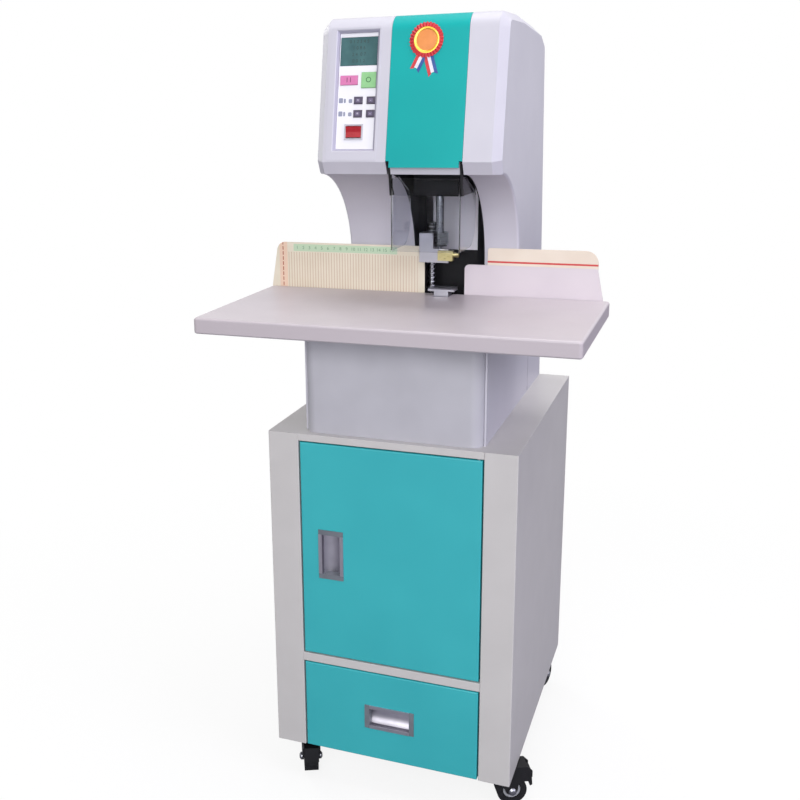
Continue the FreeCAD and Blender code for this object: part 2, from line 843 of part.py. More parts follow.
def pull_cup(name):
    """A recessed pull: an extruded trough with two lips and a round back, along its own Z."""
    half = "pull_width / 2"
    throat = "(pull_width / 2 - pull_lip - floor_gap)"
    inner = "(pull_width / 2 - pull_lip - floor_gap - pull_wall)"
    outline = [
        (f"0 - {half}", "0"), (f"0 - {half}", f"0 - pull_wall"),
        (f"0 - {inner}", "0 - pull_wall"),
        (f"0 - {inner}", "pull_depth - pull_wall - pull_lip", "pull_width / 2", "left"),
        (inner, "pull_depth - pull_wall - pull_lip"),
        (inner, "0 - pull_wall"), (half, "0 - pull_wall"), (half, "0"), (throat, "0"),
        (throat, "pull_depth - pull_lip", "pull_width / 2 + pull_wall", "right"),
        (f"0 - {throat}", "pull_depth - pull_lip"), (f"0 - {throat}", "0"),
    ]
    return pad_body(name, "XY_Plane", outline, "pull_cap - pull_length / 2", "pull_length - 2 * pull_cap")


def pull_caps(name):
    """The two moulded ends that close a pull, with a bowed outer edge."""
    caps = []
    for end in ("low", "high"):
        start = "0 - pull_length / 2" if end == "low" else "pull_length / 2 - pull_cap"
        body = pad_body(f"{name}_{end}", "XY_Plane",
                        rectangle("0 - pull_width / 2", "0 - pull_stand", "pull_width / 2", "0"),
                        start, "pull_cap")
        add_pad(body, f"{name}_{end}_plug", "XY_Plane",
                rectangle("pull_lip + floor_gap - pull_width / 2", "0",
                          "pull_width / 2 - pull_lip - floor_gap", "pull_depth"),
                "pull_lip + floor_gap - pull_length / 2" if end == "low" else "pull_length / 2 - pull_cap",
                "pull_cap - pull_lip - floor_gap")
        outer = number("0 - pull_stand")
        round_edges(body, f"{name}_{end}_edges",
                    lambda edge: lies_at(edge, 1, outer) and runs_along(edge, 2), "pull_stand / 2")
        caps.append(body)
    return group(name + "_pair", caps)


def pulls():
    """Both recessed pulls, each on the front face of its door or drawer."""
    across = (Vector(0, 1, 0), "90")
    keep(pull_cup("door_cup"), "door_handle_cup", ("door_pull_centre", "0", "door_pull_height"))
    keep(pull_caps("door_cap"), "door_handle_caps", ("door_pull_centre", "0", "door_pull_height"))
    keep(pull_cup("drawer_cup"), "drawer_handle_cup", ("0", "0", "drawer_pull_height"), across)
    keep(pull_caps("drawer_cap"), "drawer_handle_caps", ("0", "0", "drawer_pull_height"), across)


# Casters, each drawn round its swivel axis with Z from the top of its plate


def caster_plates():
    """The four top plates with their kingpins."""
    plates = []
    for corner, (side, depth, heading) in CASTERS.items():
        top = "caster_height"
        plate = block("plate_" + corner, ("caster_plate", "caster_plate", "caster_plate_thick"),
                      (f"{side} - caster_plate / 2", f"{depth} - caster_plate / 2",
                       f"{top} - caster_plate_thick"))
        pin = rod("kingpin_" + corner, "kingpin_radius", "0 - kingpin_end",
                  (side, depth, f"{top} + kingpin_end"))
        plates.append(join("plate_pin_" + corner, [plate, pin]))
    keep(group("plates", plates), "caster_plates")


def caster_fork(corner):
    """The fork: a domed crown, two cheeks down to the axle, and the riveted axle."""
    name = "fork_" + corner
    crown = block(name + "_crown", ("2 * (fork_half + fork_wall)", "2 * crown_radius", "crown_height"),
                  ("0 - fork_half - fork_wall", "0 - crown_radius", "crown_bottom"))
    braked = corner[0] == "f"
    head = "axle_head_radius"
    outline = [
        ("crown_radius", "crown_top"), ("0 - crown_radius", "crown_top"),
        ("0 - crown_radius", "crown_bottom"),
        (f"wheel_trail - {head}", f"wheel_level - {head} / 2"),
        (f"wheel_trail - {head} / 2", f"wheel_level - {head}"),
        (f"wheel_trail + {head} / 2", f"wheel_level - {head}"),
        (f"wheel_trail + {head}", f"wheel_level - {head} / 2"),
    ]
    if braked:
        outline += [
            (f"wheel_trail + 2 * {head}", "hood_low"), ("hood_reach - hood_nose", "hood_low"),
            ("hood_reach", "hood_low + hood_nose"), ("hood_reach", "crown_top - hood_nose"),
            ("hood_reach - hood_nose", "crown_top"),
        ]
    cheeks = []
    for side in ("left", "right"):
        start = "fork_half" if side == "right" else "0 - fork_half - fork_wall"
        cheeks.append(pad_body(f"{name}_cheek_{side}", "YZ_Plane", outline, start, "fork_wall"))
    if braked:
        cheeks.append(block(name + "_roof", ("2 * fork_half", "hood_reach - hood_nose", "fork_wall"),
                            ("0 - fork_half", "0", "crown_top - fork_wall")))
    axle = rod(name + "_axle", "axle_radius", "2 * (fork_half + fork_wall)",
               ("0 - fork_half - fork_wall", "wheel_trail", "wheel_level"), "x")
    heads = [
        rod(name + "_head", "axle_head_radius", "axle_head_thick",
            ("0 - fork_half - fork_wall - axle_head_thick", "wheel_trail", "wheel_level"), "x", 6),
        rod(name + "_nut", "axle_head_radius", "axle_head_thick",
            ("fork_half + fork_wall", "wheel_trail", "wheel_level"), "x", 6),
    ]
    whole = join(name + "_whole", [crown, axle] + cheeks + heads)
    bores = [rod(name + "_bore", "kingpin_radius + running_clear", "crown_height + 2 * overrun",
                 ("0", "0", "crown_bottom - overrun"))]
    if braked:
        bores.append(rod(name + "_brake_bore", "brake_pin_radius + running_clear",
                         "2 * (fork_half + fork_wall + overrun)",
                         ("0 - fork_half - fork_wall - overrun", "brake_depth", "brake_level"), "x"))
    return cut_out(name, whole, bores)


def caster_wheel(corner):
    """The wheel: a turned tyre with a sunken hub and a bore for the axle."""
    name = "wheel_" + corner
    body = doc.addObject("PartDesign::Body", name)
    half = "wheel_width / 2"
    bore = "axle_radius + running_clear"
    side = [(bore, "hub_recess"), ("hub_radius", "hub_recess"), ("hub_radius", "0"), ("wheel_radius", "0")]
    outline = [(across, f"{up} - {half}") for across, up in side]
    outline += [(across, f"{half} - {up}") for across, up in reversed(side)]
    sketch = add_sketch(body, name + "_outline", "XY_Plane", outline, "0")
    turning = body.newObject("PartDesign::Revolution", name + "_turning")
    turning.Profile = sketch
    turning.ReferenceAxis = (sketch, ["V_Axis"])
    turning.Angle = 360
    doc.recompute()
    return body


def caster_brake(corner):
    """The brake pedal of a front caster, on a pin through both cheeks."""
    name = "brake_" + corner
    pin, deep, high = "brake_pin_radius", "brake_depth", "brake_level"
    outline = [
        (f"{deep} - 2 * {pin}", f"{high} - 2 * {pin}"), (f"{deep} + {pin}", f"{high} - 2 * {pin}"),
        (f"{deep} + brake_reach / 2", f"{high} - brake_drop"),
        (f"{deep} + brake_reach / 2 + 2 * {pin}", f"{high} - brake_drop + {pin}"),
        (f"{deep} + brake_reach / 2 + {pin}", f"{high} + 2 * {pin}"),
        (f"{deep} - 2 * {pin}", f"{high} + 2 * {pin}"),
    ]
    pedal = pad_body(name + "_pedal", "YZ_Plane", outline, "floor_gap - fork_half",
                     "2 * (fork_half - floor_gap)")
    shaft = rod(name + "_pin", "brake_pin_radius", "2 * (fork_half + fork_wall)",
                ("0 - fork_half - fork_wall", deep, high), "x")
    return join(name, [pedal, shaft])


def casters():
    """Four casters, each turned to its own heading."""
    caster_plates()
    for corner, (side, depth, heading) in CASTERS.items():
        place = (side, depth, "caster_height")
        turn = (Vector(0, 0, 1), heading)
        keep(caster_fork(corner), "caster_fork_" + corner, place, turn)
        if corner[0] == "f":
            keep(caster_brake(corner), "caster_brake_" + corner, place, turn)
        wheel = caster_wheel(corner)
        wheel.Placement = FreeCAD.Placement(Vector(), FreeCAD.Rotation(Vector(0, 0, 1), -90))
        stand = group("stand_" + corner, [wheel])
        bind(wheel, "Placement.Base.y", "wheel_trail")
        bind(wheel, "Placement.Base.z", "wheel_level")
        keep(stand, "caster_wheel_" + corner, place, turn)


# Machine body


def head_profile():
    """The side view of the shells: base, column, arch, head, and the leaning back."""
    return [
        ("shell_front", "deck_level"), ("shell_back_foot", "deck_level"),
        ("back_top", "back_top_level"), ("crown_end", "crown_end_level"), ("crown_start", "head_top"),
        ("brow_depth", "head_top"), ("head_front", "chin_level"),
        ("floor_front", "head_bottom", "arch_radius", "left"),
        ("column_front", "arch_foot_level"), ("column_front", "ledge_level"),
        ("shell_front", "ledge_level"),
    ]


def along_x_at(edge, depth, level):
    """Whether an edge runs along X at one point of the side view."""
    return runs_along(edge, 0) and lies_at(edge, 1, depth) and lies_at(edge, 2, level)


def cavity_profile():
    """The side view of a shell's hollow, one wall inside its outline, open in front, below and behind."""
    wall = "shell_wall"
    return [
        ("shell_front - overrun", "deck_level - overrun"),
        ("shell_back_foot + overrun", "deck_level - overrun"),
        ("rear_top_depth + overrun", "rear_top"), ("rear_top_depth", "rear_top"),
        ("crown_end", f"crown_end_level - {wall}"),
        ("crown_start", f"head_top - {wall}"),
        ("brow_inner_depth + brow_reach", f"head_top - {wall}", f"brow_radius - {wall}", "right"),
        ("brow_inner_depth - brow_reach * sin(face_lean)",
         f"head_top - {wall} - brow_reach * cos(face_lean)"),
        (f"head_front + {wall} / cos(face_lean)", "chin_level"),
        (f"floor_front + {wall}", f"head_bottom + {wall}", f"arch_radius + {wall}", "left"),
        (f"column_front + {wall}", "arch_foot_level"), (f"column_front + {wall}", f"ledge_level - {wall}"),
        ("shell_front - overrun", f"ledge_level - {wall}"),
    ]


def side_shell(label, is_left):
    """One side of the machine as a single moulding, open towards the middle, below and behind."""
    start = "0 - shell_half" if is_left else "slot_right"
    width = "slot_left + shell_half" if is_left else "shell_half - slot_right"
    body = pad_body(label, "YZ_Plane", head_profile(), start, width)
    brow = (number("brow_depth"), number("head_top"))
    round_edges(body, label + "_brow", lambda edge: along_x_at(edge, *brow), "brow_radius")
    back = (number("back_top"), number("back_top_level"))
    round_edges(body, label + "_back", lambda edge: along_x_at(edge, *back), "back_radius")
    hollow_start = "shell_wall - shell_half" if is_left else "slot_right - overrun"
    add_pocket(body, label + "_hollow", "YZ_Plane", cavity_profile(), hollow_start,
               f"{width} - shell_wall + overrun")
    rim = number("0 - shell_half" if is_left else "shell_half")
    inner_rim = number("shell_wall - shell_half" if is_left else "shell_half - shell_wall")
    face_low = number("head_bottom + chin_height / 2")
    depth_limit = number("crown_end")
    front_limit = number("column_front + shell_wall")

    def over_face(edge, side):
        middle = edge.CenterOfMass
        return lies_at(edge, 0, side) and middle.z > face_low and middle.y < depth_limit
    bevel_edges(body, label + "_inner_bevel", lambda edge: over_face(edge, inner_rim), "inner_bevel")
    bevel_edges(body, label + "_face_bevel", lambda edge: over_face(edge, rim), "face_bevel")

    def along_arch(edge):
        middle = edge.CenterOfMass
        low, high = number("ledge_level + overrun"), number("head_bottom")
        return lies_at(edge, 0, rim) and middle.y < front_limit and low < middle.z < high
    round_edges(body, label + "_arch_edge", along_arch, "shell_edge_radius")
    return body


def to_face(item, label):
    """Place a piece that is drawn flat onto the head's leaning face."""
    keep(item, label, ("0", "head_front", "chin_level"), (Vector(1, 0, 0), "90 - face_lean"))


def side_shells():
    """Both side shells, the left one with the hole for the control panel."""
    left = side_shell("left_shell", True)
    hole = block("bezel_hole", ("bezel_width - 2 * bezel_lip", "bezel_height - 2 * bezel_lip",
                                "bezel_deep + bezel_floor + 2 * overrun + shell_wall"),
                 ("bezel_left + bezel_lip", "0", "0"))
    hole.Placement = FreeCAD.Placement(Vector(), FreeCAD.Rotation(Vector(1, 0, 0), 1))
    bind(hole, "Placement.Rotation.Angle", "90 - face_lean")
    reach = "(bezel_low + bezel_lip)"
    deep = "(bezel_deep + bezel_floor + overrun + shell_wall)"
    bind(hole, "Placement.Base.x", "bezel_left + bezel_lip")
    bind(hole, "Placement.Base.y", f"head_front + {reach} * sin(face_lean) + {deep} * cos(face_lean)")
    bind(hole, "Placement.Base.z", f"chin_level + {reach} * cos(face_lean) - {deep} * sin(face_lean)")
    keep(cut_out("left_shell_cut", left, [hole]), "side_shell_left")
    keep(side_shell("right_shell", False), "side_shell_right")


def base_front_cover():
    """The bent sheet in front of the base, tucked between the shells."""
    half, wall, radius = "cover_half", "cover_wall", "cover_radius"
    face, tail = "cover_setback", "shell_front + side_panel_width"
    bend = f"{radius} - {wall}"
    outline = [
        (f"0 - {half}", tail), (f"0 - {half}", f"{face} + {radius}", radius, "right"),
        (f"{radius} - {half}", face), (f"{half} - {radius}", face, radius, "right"),
        (half, f"{face} + {radius}"), (half, tail), (f"{half} - {wall}", tail),
        (f"{half} - {wall}", f"{face} + {radius}", bend, "left"), (f"{half} - {radius}", f"{face} + {wall}"),
        (f"{radius} - {half}", f"{face} + {wall}", bend, "left"), (f"{wall} - {half}", f"{face} + {radius}"),
        (f"{wall} - {half}", tail),
    ]
    body = pad_body("front_cover", "XY_Plane", outline, "deck_level", "cover_top - deck_level")
    add_pocket(body, "front_cover_step", "YZ_Plane",
               rectangle("shell_front - seam", "ledge_level - shell_wall - seam", f"{tail} + overrun",
                         "ledge_level"),
               f"0 - {half} - overrun", f"2 * ({half} + overrun)")
    keep(body, "base_front_cover")


def head_front_panel():
    """The strip from its tongue up the face, over the brow and along the crown to the rear cover."""
    wall = "panel_wall"
    outline = [
        ("tongue_front", "tongue_level"), (f"tongue_front + {wall} / cos(face_lean)", "tongue_level"),
        (f"brow_depth + {wall} / cos(face_lean) - {wall} * tan(face_lean)", f"head_top - {wall}"),
        ("crown_start", f"head_top - {wall}"), ("crown_end", f"crown_end_level - {wall}"),
        ("rear_top_depth", "rear_top"), ("back_top", "back_top_level"),
        ("crown_end", "crown_end_level"), ("crown_start", "head_top"), ("brow_depth", "head_top"),
    ]
    body = pad_body("front_strip", "YZ_Plane", outline, "slot_left + seam", "slot_width - 2 * seam")
    outer = (number("brow_depth"), number("head_top"))
    round_edges(body, "front_strip_brow", lambda edge: along_x_at(edge, *outer), "brow_radius")
    inner = (number(outline[2][0]), number(outline[2][1]))
    round_edges(body, "front_strip_inside", lambda edge: along_x_at(edge, *inner), "brow_radius - panel_wall")
    back = (number("back_top"), number("back_top_level"))
    round_edges(body, "front_strip_back", lambda edge: along_x_at(edge, *back), "back_radius")
    corner = rectangle("tongue_front - overrun", "tongue_level - overrun", "floor_front",
                       "chin_level + notch_over")
    for side, start in (("left", "slot_left - overrun"), ("right", "slot_right - tongue_notch")):
        add_pocket(body, "strip_notch_" + side, "YZ_Plane", corner, start, "tongue_notch + overrun")
    keep(body, "head_front_panel")


def head_bottom_plate():
    """The light lip under the face with the floor of the head and the ears for the guard's pins."""
    wall = "shell_wall"
    outline = [
        ("lip_front", "chin_level"), ("floor_front", "head_bottom"), ("floor_back", "head_bottom"),
        ("floor_back", f"head_bottom + {wall}"), (f"floor_front + {wall}", f"head_bottom + {wall}"),
        (f"lip_front + {wall}", "chin_level"),
    ]
    plate = pad_body("chin", "YZ_Plane", outline, "slot_left + seam", "slot_width - 2 * seam")
    ears = []
    cuts = []
    for is_left in (True, False):
        side = "left" if is_left else "right"
        ear_at = "slot_left + ear_inset" if is_left else "slot_right - ear_inset - ear_thick"
        notch_at = "slot_left - overrun" if is_left else "slot_right - tongue_notch"
        ears.append(block("ear_" + side, ("ear_thick", "guard_arm_width", f"2 * guard_pivot_rise - {wall}"),
                          (ear_at, "floor_front - 2 * seam", f"head_bottom + {wall}")))
        cuts.append(block("notch_" + side, ("tongue_notch + overrun", "guard_arm_width * 3",
                                            "chin_height + 2 * overrun"),
                          (notch_at, "head_front - overrun", "head_bottom - overrun")))
        cuts.append(rod("pin_bore_" + side, "guard_pin_radius + running_clear", "ear_thick + 2 * overrun",
                        (f"{ear_at} - overrun", "guard_pivot_depth", "guard_pivot_level"), "x"))
    cuts.append(block("floor_opening",
                      ("carriage_right - carriage_left + 4 * overrun",
                       "floor_back - carriage_front + 3 * overrun", "shell_wall + 2 * overrun"),
                      ("carriage_left - 2 * overrun", "carriage_front - 2 * overrun",
                       "head_bottom - overrun")))
    whole = join("chin_whole", [plate] + ears)
    keep(cut_out("chin_cut", whole, cuts), "head_bottom_plate")


def rear_cover():
    """The leaning back plate between the shells' walls, with vent slots and the inlet's cut."""
    wall = "cover_wall"
    low = "deck_level"
    outline = [
        ("shell_back_foot", low), ("rear_top_depth", "rear_top - seam"),
        (f"rear_top_depth - {wall}", "rear_top - seam"), (f"shell_back_foot - {wall}", low),
    ]
    half = "(shell_half - shell_wall - seam)"
    body = pad_body("back_plate_lean", "YZ_Plane", outline, f"0 - {half}", f"2 * {half}")
    slots = []
    for index in range(int(SIZES["vent_count"])):
        level = f"vent_level + {index} * vent_pitch"
        slots.append(block(f"vent_{index + 1}", ("vent_width", "cabinet_depth", "vent_height"),
                           ("0 - vent_width / 2", "frame_back", level)))
    window = block("inlet_window", ("inlet_mouth_width + 2 * inlet_flange", "cabinet_depth",
                                    "inlet_mouth_height + 2 * inlet_flange"),
                   ("inlet_side - inlet_mouth_width / 2 - inlet_flange", "frame_back",
                    "inlet_level - inlet_mouth_height / 2 - inlet_flange"))
    keep(cut_out("back_cover", body, slots + [window]), "rear_cover")


def mains_inlet():
    """The appliance inlet: a flanged socket with three flat pins, drawn round its mouth."""
    body = pad_body("inlet_body", "XZ_Plane",
                    rectangle("0 - inlet_width / 2", "0 - inlet_height / 2", "inlet_width / 2",
                              "inlet_height / 2"), "0 - inlet_flange", "inlet_flange")
    add_pad(body, "inlet_shell", "XZ_Plane",
            rectangle("seam - inlet_mouth_width / 2 - inlet_flange",
                      "seam - inlet_mouth_height / 2 - inlet_flange",
                      "inlet_mouth_width / 2 + inlet_flange - seam",
                      "inlet_mouth_height / 2 + inlet_flange - seam"), "0", "inlet_deep")
    add_pocket(body, "inlet_mouth", "XZ_Plane",
               rectangle("0 - inlet_mouth_width / 2", "0 - inlet_mouth_height / 2",
                         "inlet_mouth_width / 2", "inlet_mouth_height / 2"),
               "0 - inlet_flange - overrun", "inlet_mouth_deep + inlet_flange + overrun")
    pins = []
    for index, step in enumerate((-1, 0, 1)):
        pins.append(block(f"inlet_pin_{index + 1}",
                          ("inlet_pin_width", "inlet_mouth_deep", "2 * inlet_pin_width"),
                          (f"{step} * inlet_pin_pitch - inlet_pin_width / 2",
                           "0 - inlet_mouth_deep - overrun", "0 - inlet_pin_width")))
    keep(join("inlet", [body] + pins), "mains_inlet", ("inlet_side", "inlet_depth", "inlet_level"),
         (Vector(1, 0, 0), "back_lean"))


# Table and guides


def work_table():
    """The table top with soft edges and a notch at the back for the anvil."""
    half = "(table_width / 2)"
    outline = [
        (f"0 - {half}", "0 - table_overhang"), (half, "0 - table_overhang"), (half, "table_back"),
        ("notch_right", "table_back"), ("notch_right", "notch_front"),
        ("notch_left", "notch_front"), ("notch_left", "table_back"),
        (f"0 - {half}", "table_back"),
    ]
    body = pad_body("table", "XY_Plane", outline, "ledge_level", "table_thick")
    reach = number(half)
    round_edges(body, "table_corners",
                lambda edge: runs_along(edge, 2) and (lies_at(edge, 0, reach) or lies_at(edge, 0, -reach)),
                "table_corner_radius")
    notch = (number("notch_left - overrun"), number("notch_right + overrun"))
    back = number("table_back")
    front = number("notch_front")

    def rim(edge, level):
        middle = edge.CenterOfMass
        in_notch = notch[0] < middle.x < notch[1] and middle.y > front - NEAR and edge.BoundBox.YLength < back
        return lies_at(edge, 2, number(level)) and not in_notch and not lies_at(edge, 1, back)
    round_edges(body, "table_rim", lambda edge: rim(edge, "table_height"), "table_edge_radius")
    bevel_edges(body, "table_under_rim", lambda edge: rim(edge, "ledge_level"), "table_edge_radius / 2")
    keep(body, "work_table")


def upright_plate(name, outline, face, rounds):
    """A thin plate that stands behind the table, drawn from the front, with round top corners."""
    body = pad_body(name, "XZ_Plane", outline, f"0 - ({face}) - guide_thick", "guide_thick")
    for index, (side, level, radius) in enumerate(rounds, start=1):
        spot = (number(side), number(level))
        round_edges(body, f"{name}_round_{index}",
                    lambda edge: runs_along(edge, 1) and lies_at(edge, 0, spot[0])
                    and lies_at(edge, 2, spot[1]), radius)
    return body


def guides():
    """Left guide, right guide and gauge plate, fixed to the table's back edge."""
    left_top = "left_guide_start + left_guide_lean"
    left = [("left_guide_start", "guide_low"), ("left_guide_end", "guide_low"),
            ("left_guide_end", "guide_high"), (left_top, "guide_high"), ("left_guide_start", "table_height")]
    keep(upright_plate("guide_left", left, "guide_face", [(left_top, "guide_high", "guide_round")]),
         "left_paper_guide")
    right_high = "table_height + right_guide_height"
    right_top = "right_guide_end - right_guide_lean"
    right = [("right_guide_start", "guide_low"), ("right_guide_end", "guide_low"),
             ("right_guide_end", "table_height"), (right_top, right_high), ("right_guide_start", right_high)]
    keep(upright_plate("guide_right", right, "guide_face",
                       [("right_guide_start", right_high, "guide_round / 2"),
                        (right_top, right_high, "guide_round / 8")]), "right_paper_guide")
    gauge = rectangle("gauge_start", "guide_low", "gauge_end", "guide_high")
    keep(upright_plate("gauge", gauge, "gauge_face",
                       [("gauge_end", "guide_high", "gauge_round"),
                        ("gauge_start", "guide_high", "guide_round / 4")]), "gauge_plate")


# Press


def press_frame():
    """The C-shaped frame that carries drill, foot and anvil, on a foot plate on the deck."""
    outline = [
        ("frame_shelf_front", "deck_level"), ("frame_back + frame_foot_reach", "deck_level"),
        ("frame_back + frame_foot_reach", "deck_level + frame_foot_thick"),
        ("frame_back", "deck_level + frame_foot_thick"), ("frame_back", "frame_top"),
        ("frame_nose", "frame_top"), ("frame_nose", "frame_high_arm"), ("frame_front", "frame_high_arm"),
        ("frame_front", "frame_shelf"), ("frame_shelf_front", "frame_shelf"),
        ("frame_shelf_front", "frame_low_arm"), ("frame_front", "frame_low_arm - frame_foot_reach"),
        ("frame_front", "deck_level + frame_foot_thick"),
        ("frame_shelf_front", "deck_level + frame_foot_thick"),
    ]
    body = pad_body("frame", "YZ_Plane", outline, "frame_left", "frame_right - frame_left")
    corners = [("frame_front", "frame_high_arm"), ("frame_back", "frame_top"), ("frame_nose", "frame_top")]
    for index, (depth, level) in enumerate(corners, start=1):
        spot = (number(depth), number(level))
        round_edges(body, f"frame_round_{index}", lambda edge: along_x_at(edge, *spot),
                    "frame_foot_reach / 2")
    keep(body, "press_frame")


def throat_lining():
    """The dark lining of the throat: two side walls with round back corners, cut to the arch."""
    left, right, wall = "slot_left", "slot_right", "lining_wall"
    radius, back = "lining_radius", "lining_back"
    outline = [
        (left, "floor_front"), (left, f"{back} - {radius}", radius, "left"),
        (f"{left} + {radius}", back), (f"{right} - {radius}", back, radius, "left"),
        (right, f"{back} - {radius}"), (right, "floor_front"),
        (f"{right} - {wall}", "floor_front"),
        (f"{right} - {wall}", f"{back} - {radius}", f"{radius} - {wall}", "right"),
        (f"{right} - {radius}", f"{back} - {wall}"),
        (f"{left} + {radius}", f"{back} - {wall}", f"{radius} - {wall}", "right"),
        (f"{left} + {wall}", f"{back} - {radius}"), (f"{left} + {wall}", "floor_front"),
    ]
    body = pad_body("lining", "XY_Plane", outline, "frame_shelf + floor_gap",
                    "head_bottom - frame_shelf - floor_gap - seam")
    space = [
        ("floor_front - overrun", "ledge_level - overrun"), ("column_front + seam", "ledge_level - overrun"),
        ("column_front + seam", "arch_foot_level", "arch_radius", "right"),
        ("floor_front + overrun", "head_bottom + seam"), ("floor_front - overrun", "head_bottom + seam"),
    ]
    add_pocket(body, "lining_front", "YZ_Plane", space, f"{left} - overrun", "slot_width + 2 * overrun")
    add_pocket(body, "lining_window", "XZ_Plane",
               rectangle("carriage_left - overrun", "table_height", "frame_right + overrun",
                         "head_bottom + overrun"),
               f"0 - {back} - overrun", f"{radius} + 2 * overrun")
    keep(body, "throat_lining")


def drill_carriage():
    """The block that slides down the frame's front with the drill, bored for spindle and post knob."""
    size = ("carriage_right - carriage_left", "carriage_back - carriage_front", "carriage_height")
    body = block("carriage_block", size, ("carriage_left", "carriage_front", "carriage_bottom"))
    through = "carriage_height + 2 * overrun"
    low = "carriage_bottom - overrun"
    bore = rod("spindle_bore", "spindle_radius + running_clear", through, ("drill_side", "drill_depth", low))
    relief = rod("knob_relief", "post_lug_radius + overrun", through, ("post_side", "post_depth", low))
    keep(cut_out("carriage", body, [bore, relief]), "drill_carriage")


def drill_motor():
    """The drill's motor, upright on the carriage."""
    case = rod("motor_case", "motor_radius", "motor_height", ("drill_side", "drill_depth", "carriage_top"))
    bore = rod("motor_bore", "spindle_radius + floor_gap", "overrun * 2",
               ("drill_side", "drill_depth", "carriage_top - overrun"))
    keep(cut_out("motor", case, [bore]), "drill_motor")


def drill_spindle():
    """The polished spindle from the motor down to the drill."""
    shaft = rod("spindle_shaft", "spindle_radius", "carriage_top - spindle_foot",
                ("drill_side", "drill_depth", "spindle_foot"))
    socket = rod("spindle_socket", "drill_radius", "drill_grip + overrun",
                 ("drill_side", "drill_depth", "spindle_foot - overrun"))
    keep(cut_out("spindle", shaft, [socket]), "drill_spindle")


def hollow_drill():
    """The tube drill, held in the spindle's foot."""
    tube = rod("drill_tube", "drill_radius", "drill_top - drill_tip",
               ("drill_side", "drill_depth", "drill_tip"))
    bore = rod("drill_bore", "drill_radius - drill_wall", "drill_top - drill_tip + 2 * overrun",
               ("drill_side", "drill_depth", "drill_tip - overrun"))
    keep(cut_out("drill", tube, [bore]), "hollow_drill")


def press_foot():
    """The clamp foot: a block, a forked plate with a front web beside it, and a lug on the post."""
    slot = "foot_slot_radius"
    plate = [
        ("foot_left", "foot_front"), ("foot_right", "foot_front"), ("foot_right", f"drill_depth - {slot}"),
        ("foot_block_right", f"drill_depth - {slot}"), ("foot_block_right", f"drill_depth + {slot}"),
        ("foot_right", f"drill_depth + {slot}"), ("foot_right", "foot_back"), ("foot_left", "foot_back"),
    ]
    body = pad_body("foot_body", "XY_Plane", plate, "foot_bottom", "foot_plate")
    add_pad(body, "foot_block", "XY_Plane",
            rectangle("foot_left", "foot_front", "foot_block_right", "foot_back"),
            "foot_bottom + foot_plate", "foot_height - foot_plate")
    add_pad(body, "foot_web_pad", "XY_Plane",
            rectangle("foot_block_right", "foot_front", "foot_right", "foot_front + foot_web"),
            "foot_bottom + foot_plate", "foot_web_height - foot_plate")
    lug = rod("foot_lug", "post_lug_radius", "post_lug_height", ("post_side", "post_depth", "foot_bottom"))
    bridge = block("foot_bridge", ("2 * post_lug_radius", "post_depth - foot_back + overrun",
                                   "post_lug_height"),
                   ("post_side - post_lug_radius", "foot_back - overrun", "foot_bottom"))
    slide = rod("foot_slide", "post_radius + running_clear", "foot_height + 2 * overrun",
                ("post_side", "post_depth", "foot_bottom - overrun"))
    keep(cut_out("foot", join("foot_whole", [body, lug, bridge]), [slide]), "press_foot")


def rivet_head():
    """The brass riveting block on the foot's front, with its clamp screw."""
    size = ("rivet_width", "rivet_depth", "rivet_height")
    face = "foot_front - rivet_depth"
    body = block("rivet_block", size, ("rivet_left", face, "foot_bottom + foot_plate"))
    screw = rod("rivet_screw", "rivet_screw_radius", "rivet_screw_length",
                ("rivet_left + rivet_width", f"{face} + rivet_depth / 2",
                 "foot_bottom + foot_plate + rivet_screw_rise"), "x")
    keep(join("rivet_assembly", [body, screw]), "rivet_head")


def guide_post():
    """The post that the foot slides on, with its knob above and the spring's seat below."""
    shaft = rod("post_shaft", "post_radius", "post_top - frame_shelf + overrun",
                ("post_side", "post_depth", "frame_shelf"))
    knob = rod("post_knob", "post_lug_radius", "post_knob_height", ("post_side", "post_depth", "post_top"))
    seat = rod("post_seat", "post_lug_radius", "seat_height", ("post_side", "post_depth", "frame_shelf"))
    keep(join("post", [shaft, knob, seat]), "guide_post")


def anvil_plate():
    """The anvil under drill and rivet head: a plate with a bevelled front on a narrower pedestal."""
    outline = rectangle("anvil_left", "anvil_front", "anvil_left + anvil_width", "anvil_front + anvil_depth")
    body = pad_body("anvil", "XY_Plane", outline, "anvil_top - anvil_thick", "anvil_thick")
    front, top = number("anvil_front"), number("anvil_top")
    bevel_edges(body, "anvil_bevel",
                lambda edge: runs_along(edge, 0) and lies_at(edge, 1, front) and lies_at(edge, 2, top),
                "anvil_chamfer")
    pedestal = block("anvil_pedestal",
                     ("pedestal_width", "anvil_depth", "anvil_top - anvil_thick - frame_shelf"),
                     ("pedestal_left", "anvil_front", "frame_shelf"))
    keep(join("anvil_on_pedestal", [body, pedestal]), "anvil_plate")


def helix_point(radius, rise, angle):
    """A point of a helix and the direction in which it runs."""
    point = Vector(radius * math.cos(angle), radius * math.sin(angle), rise * angle / (2 * math.pi))
    way = Vector(-radius * math.sin(angle), radius * math.cos(angle), rise / (2 * math.pi)).normalize()
    return point, way


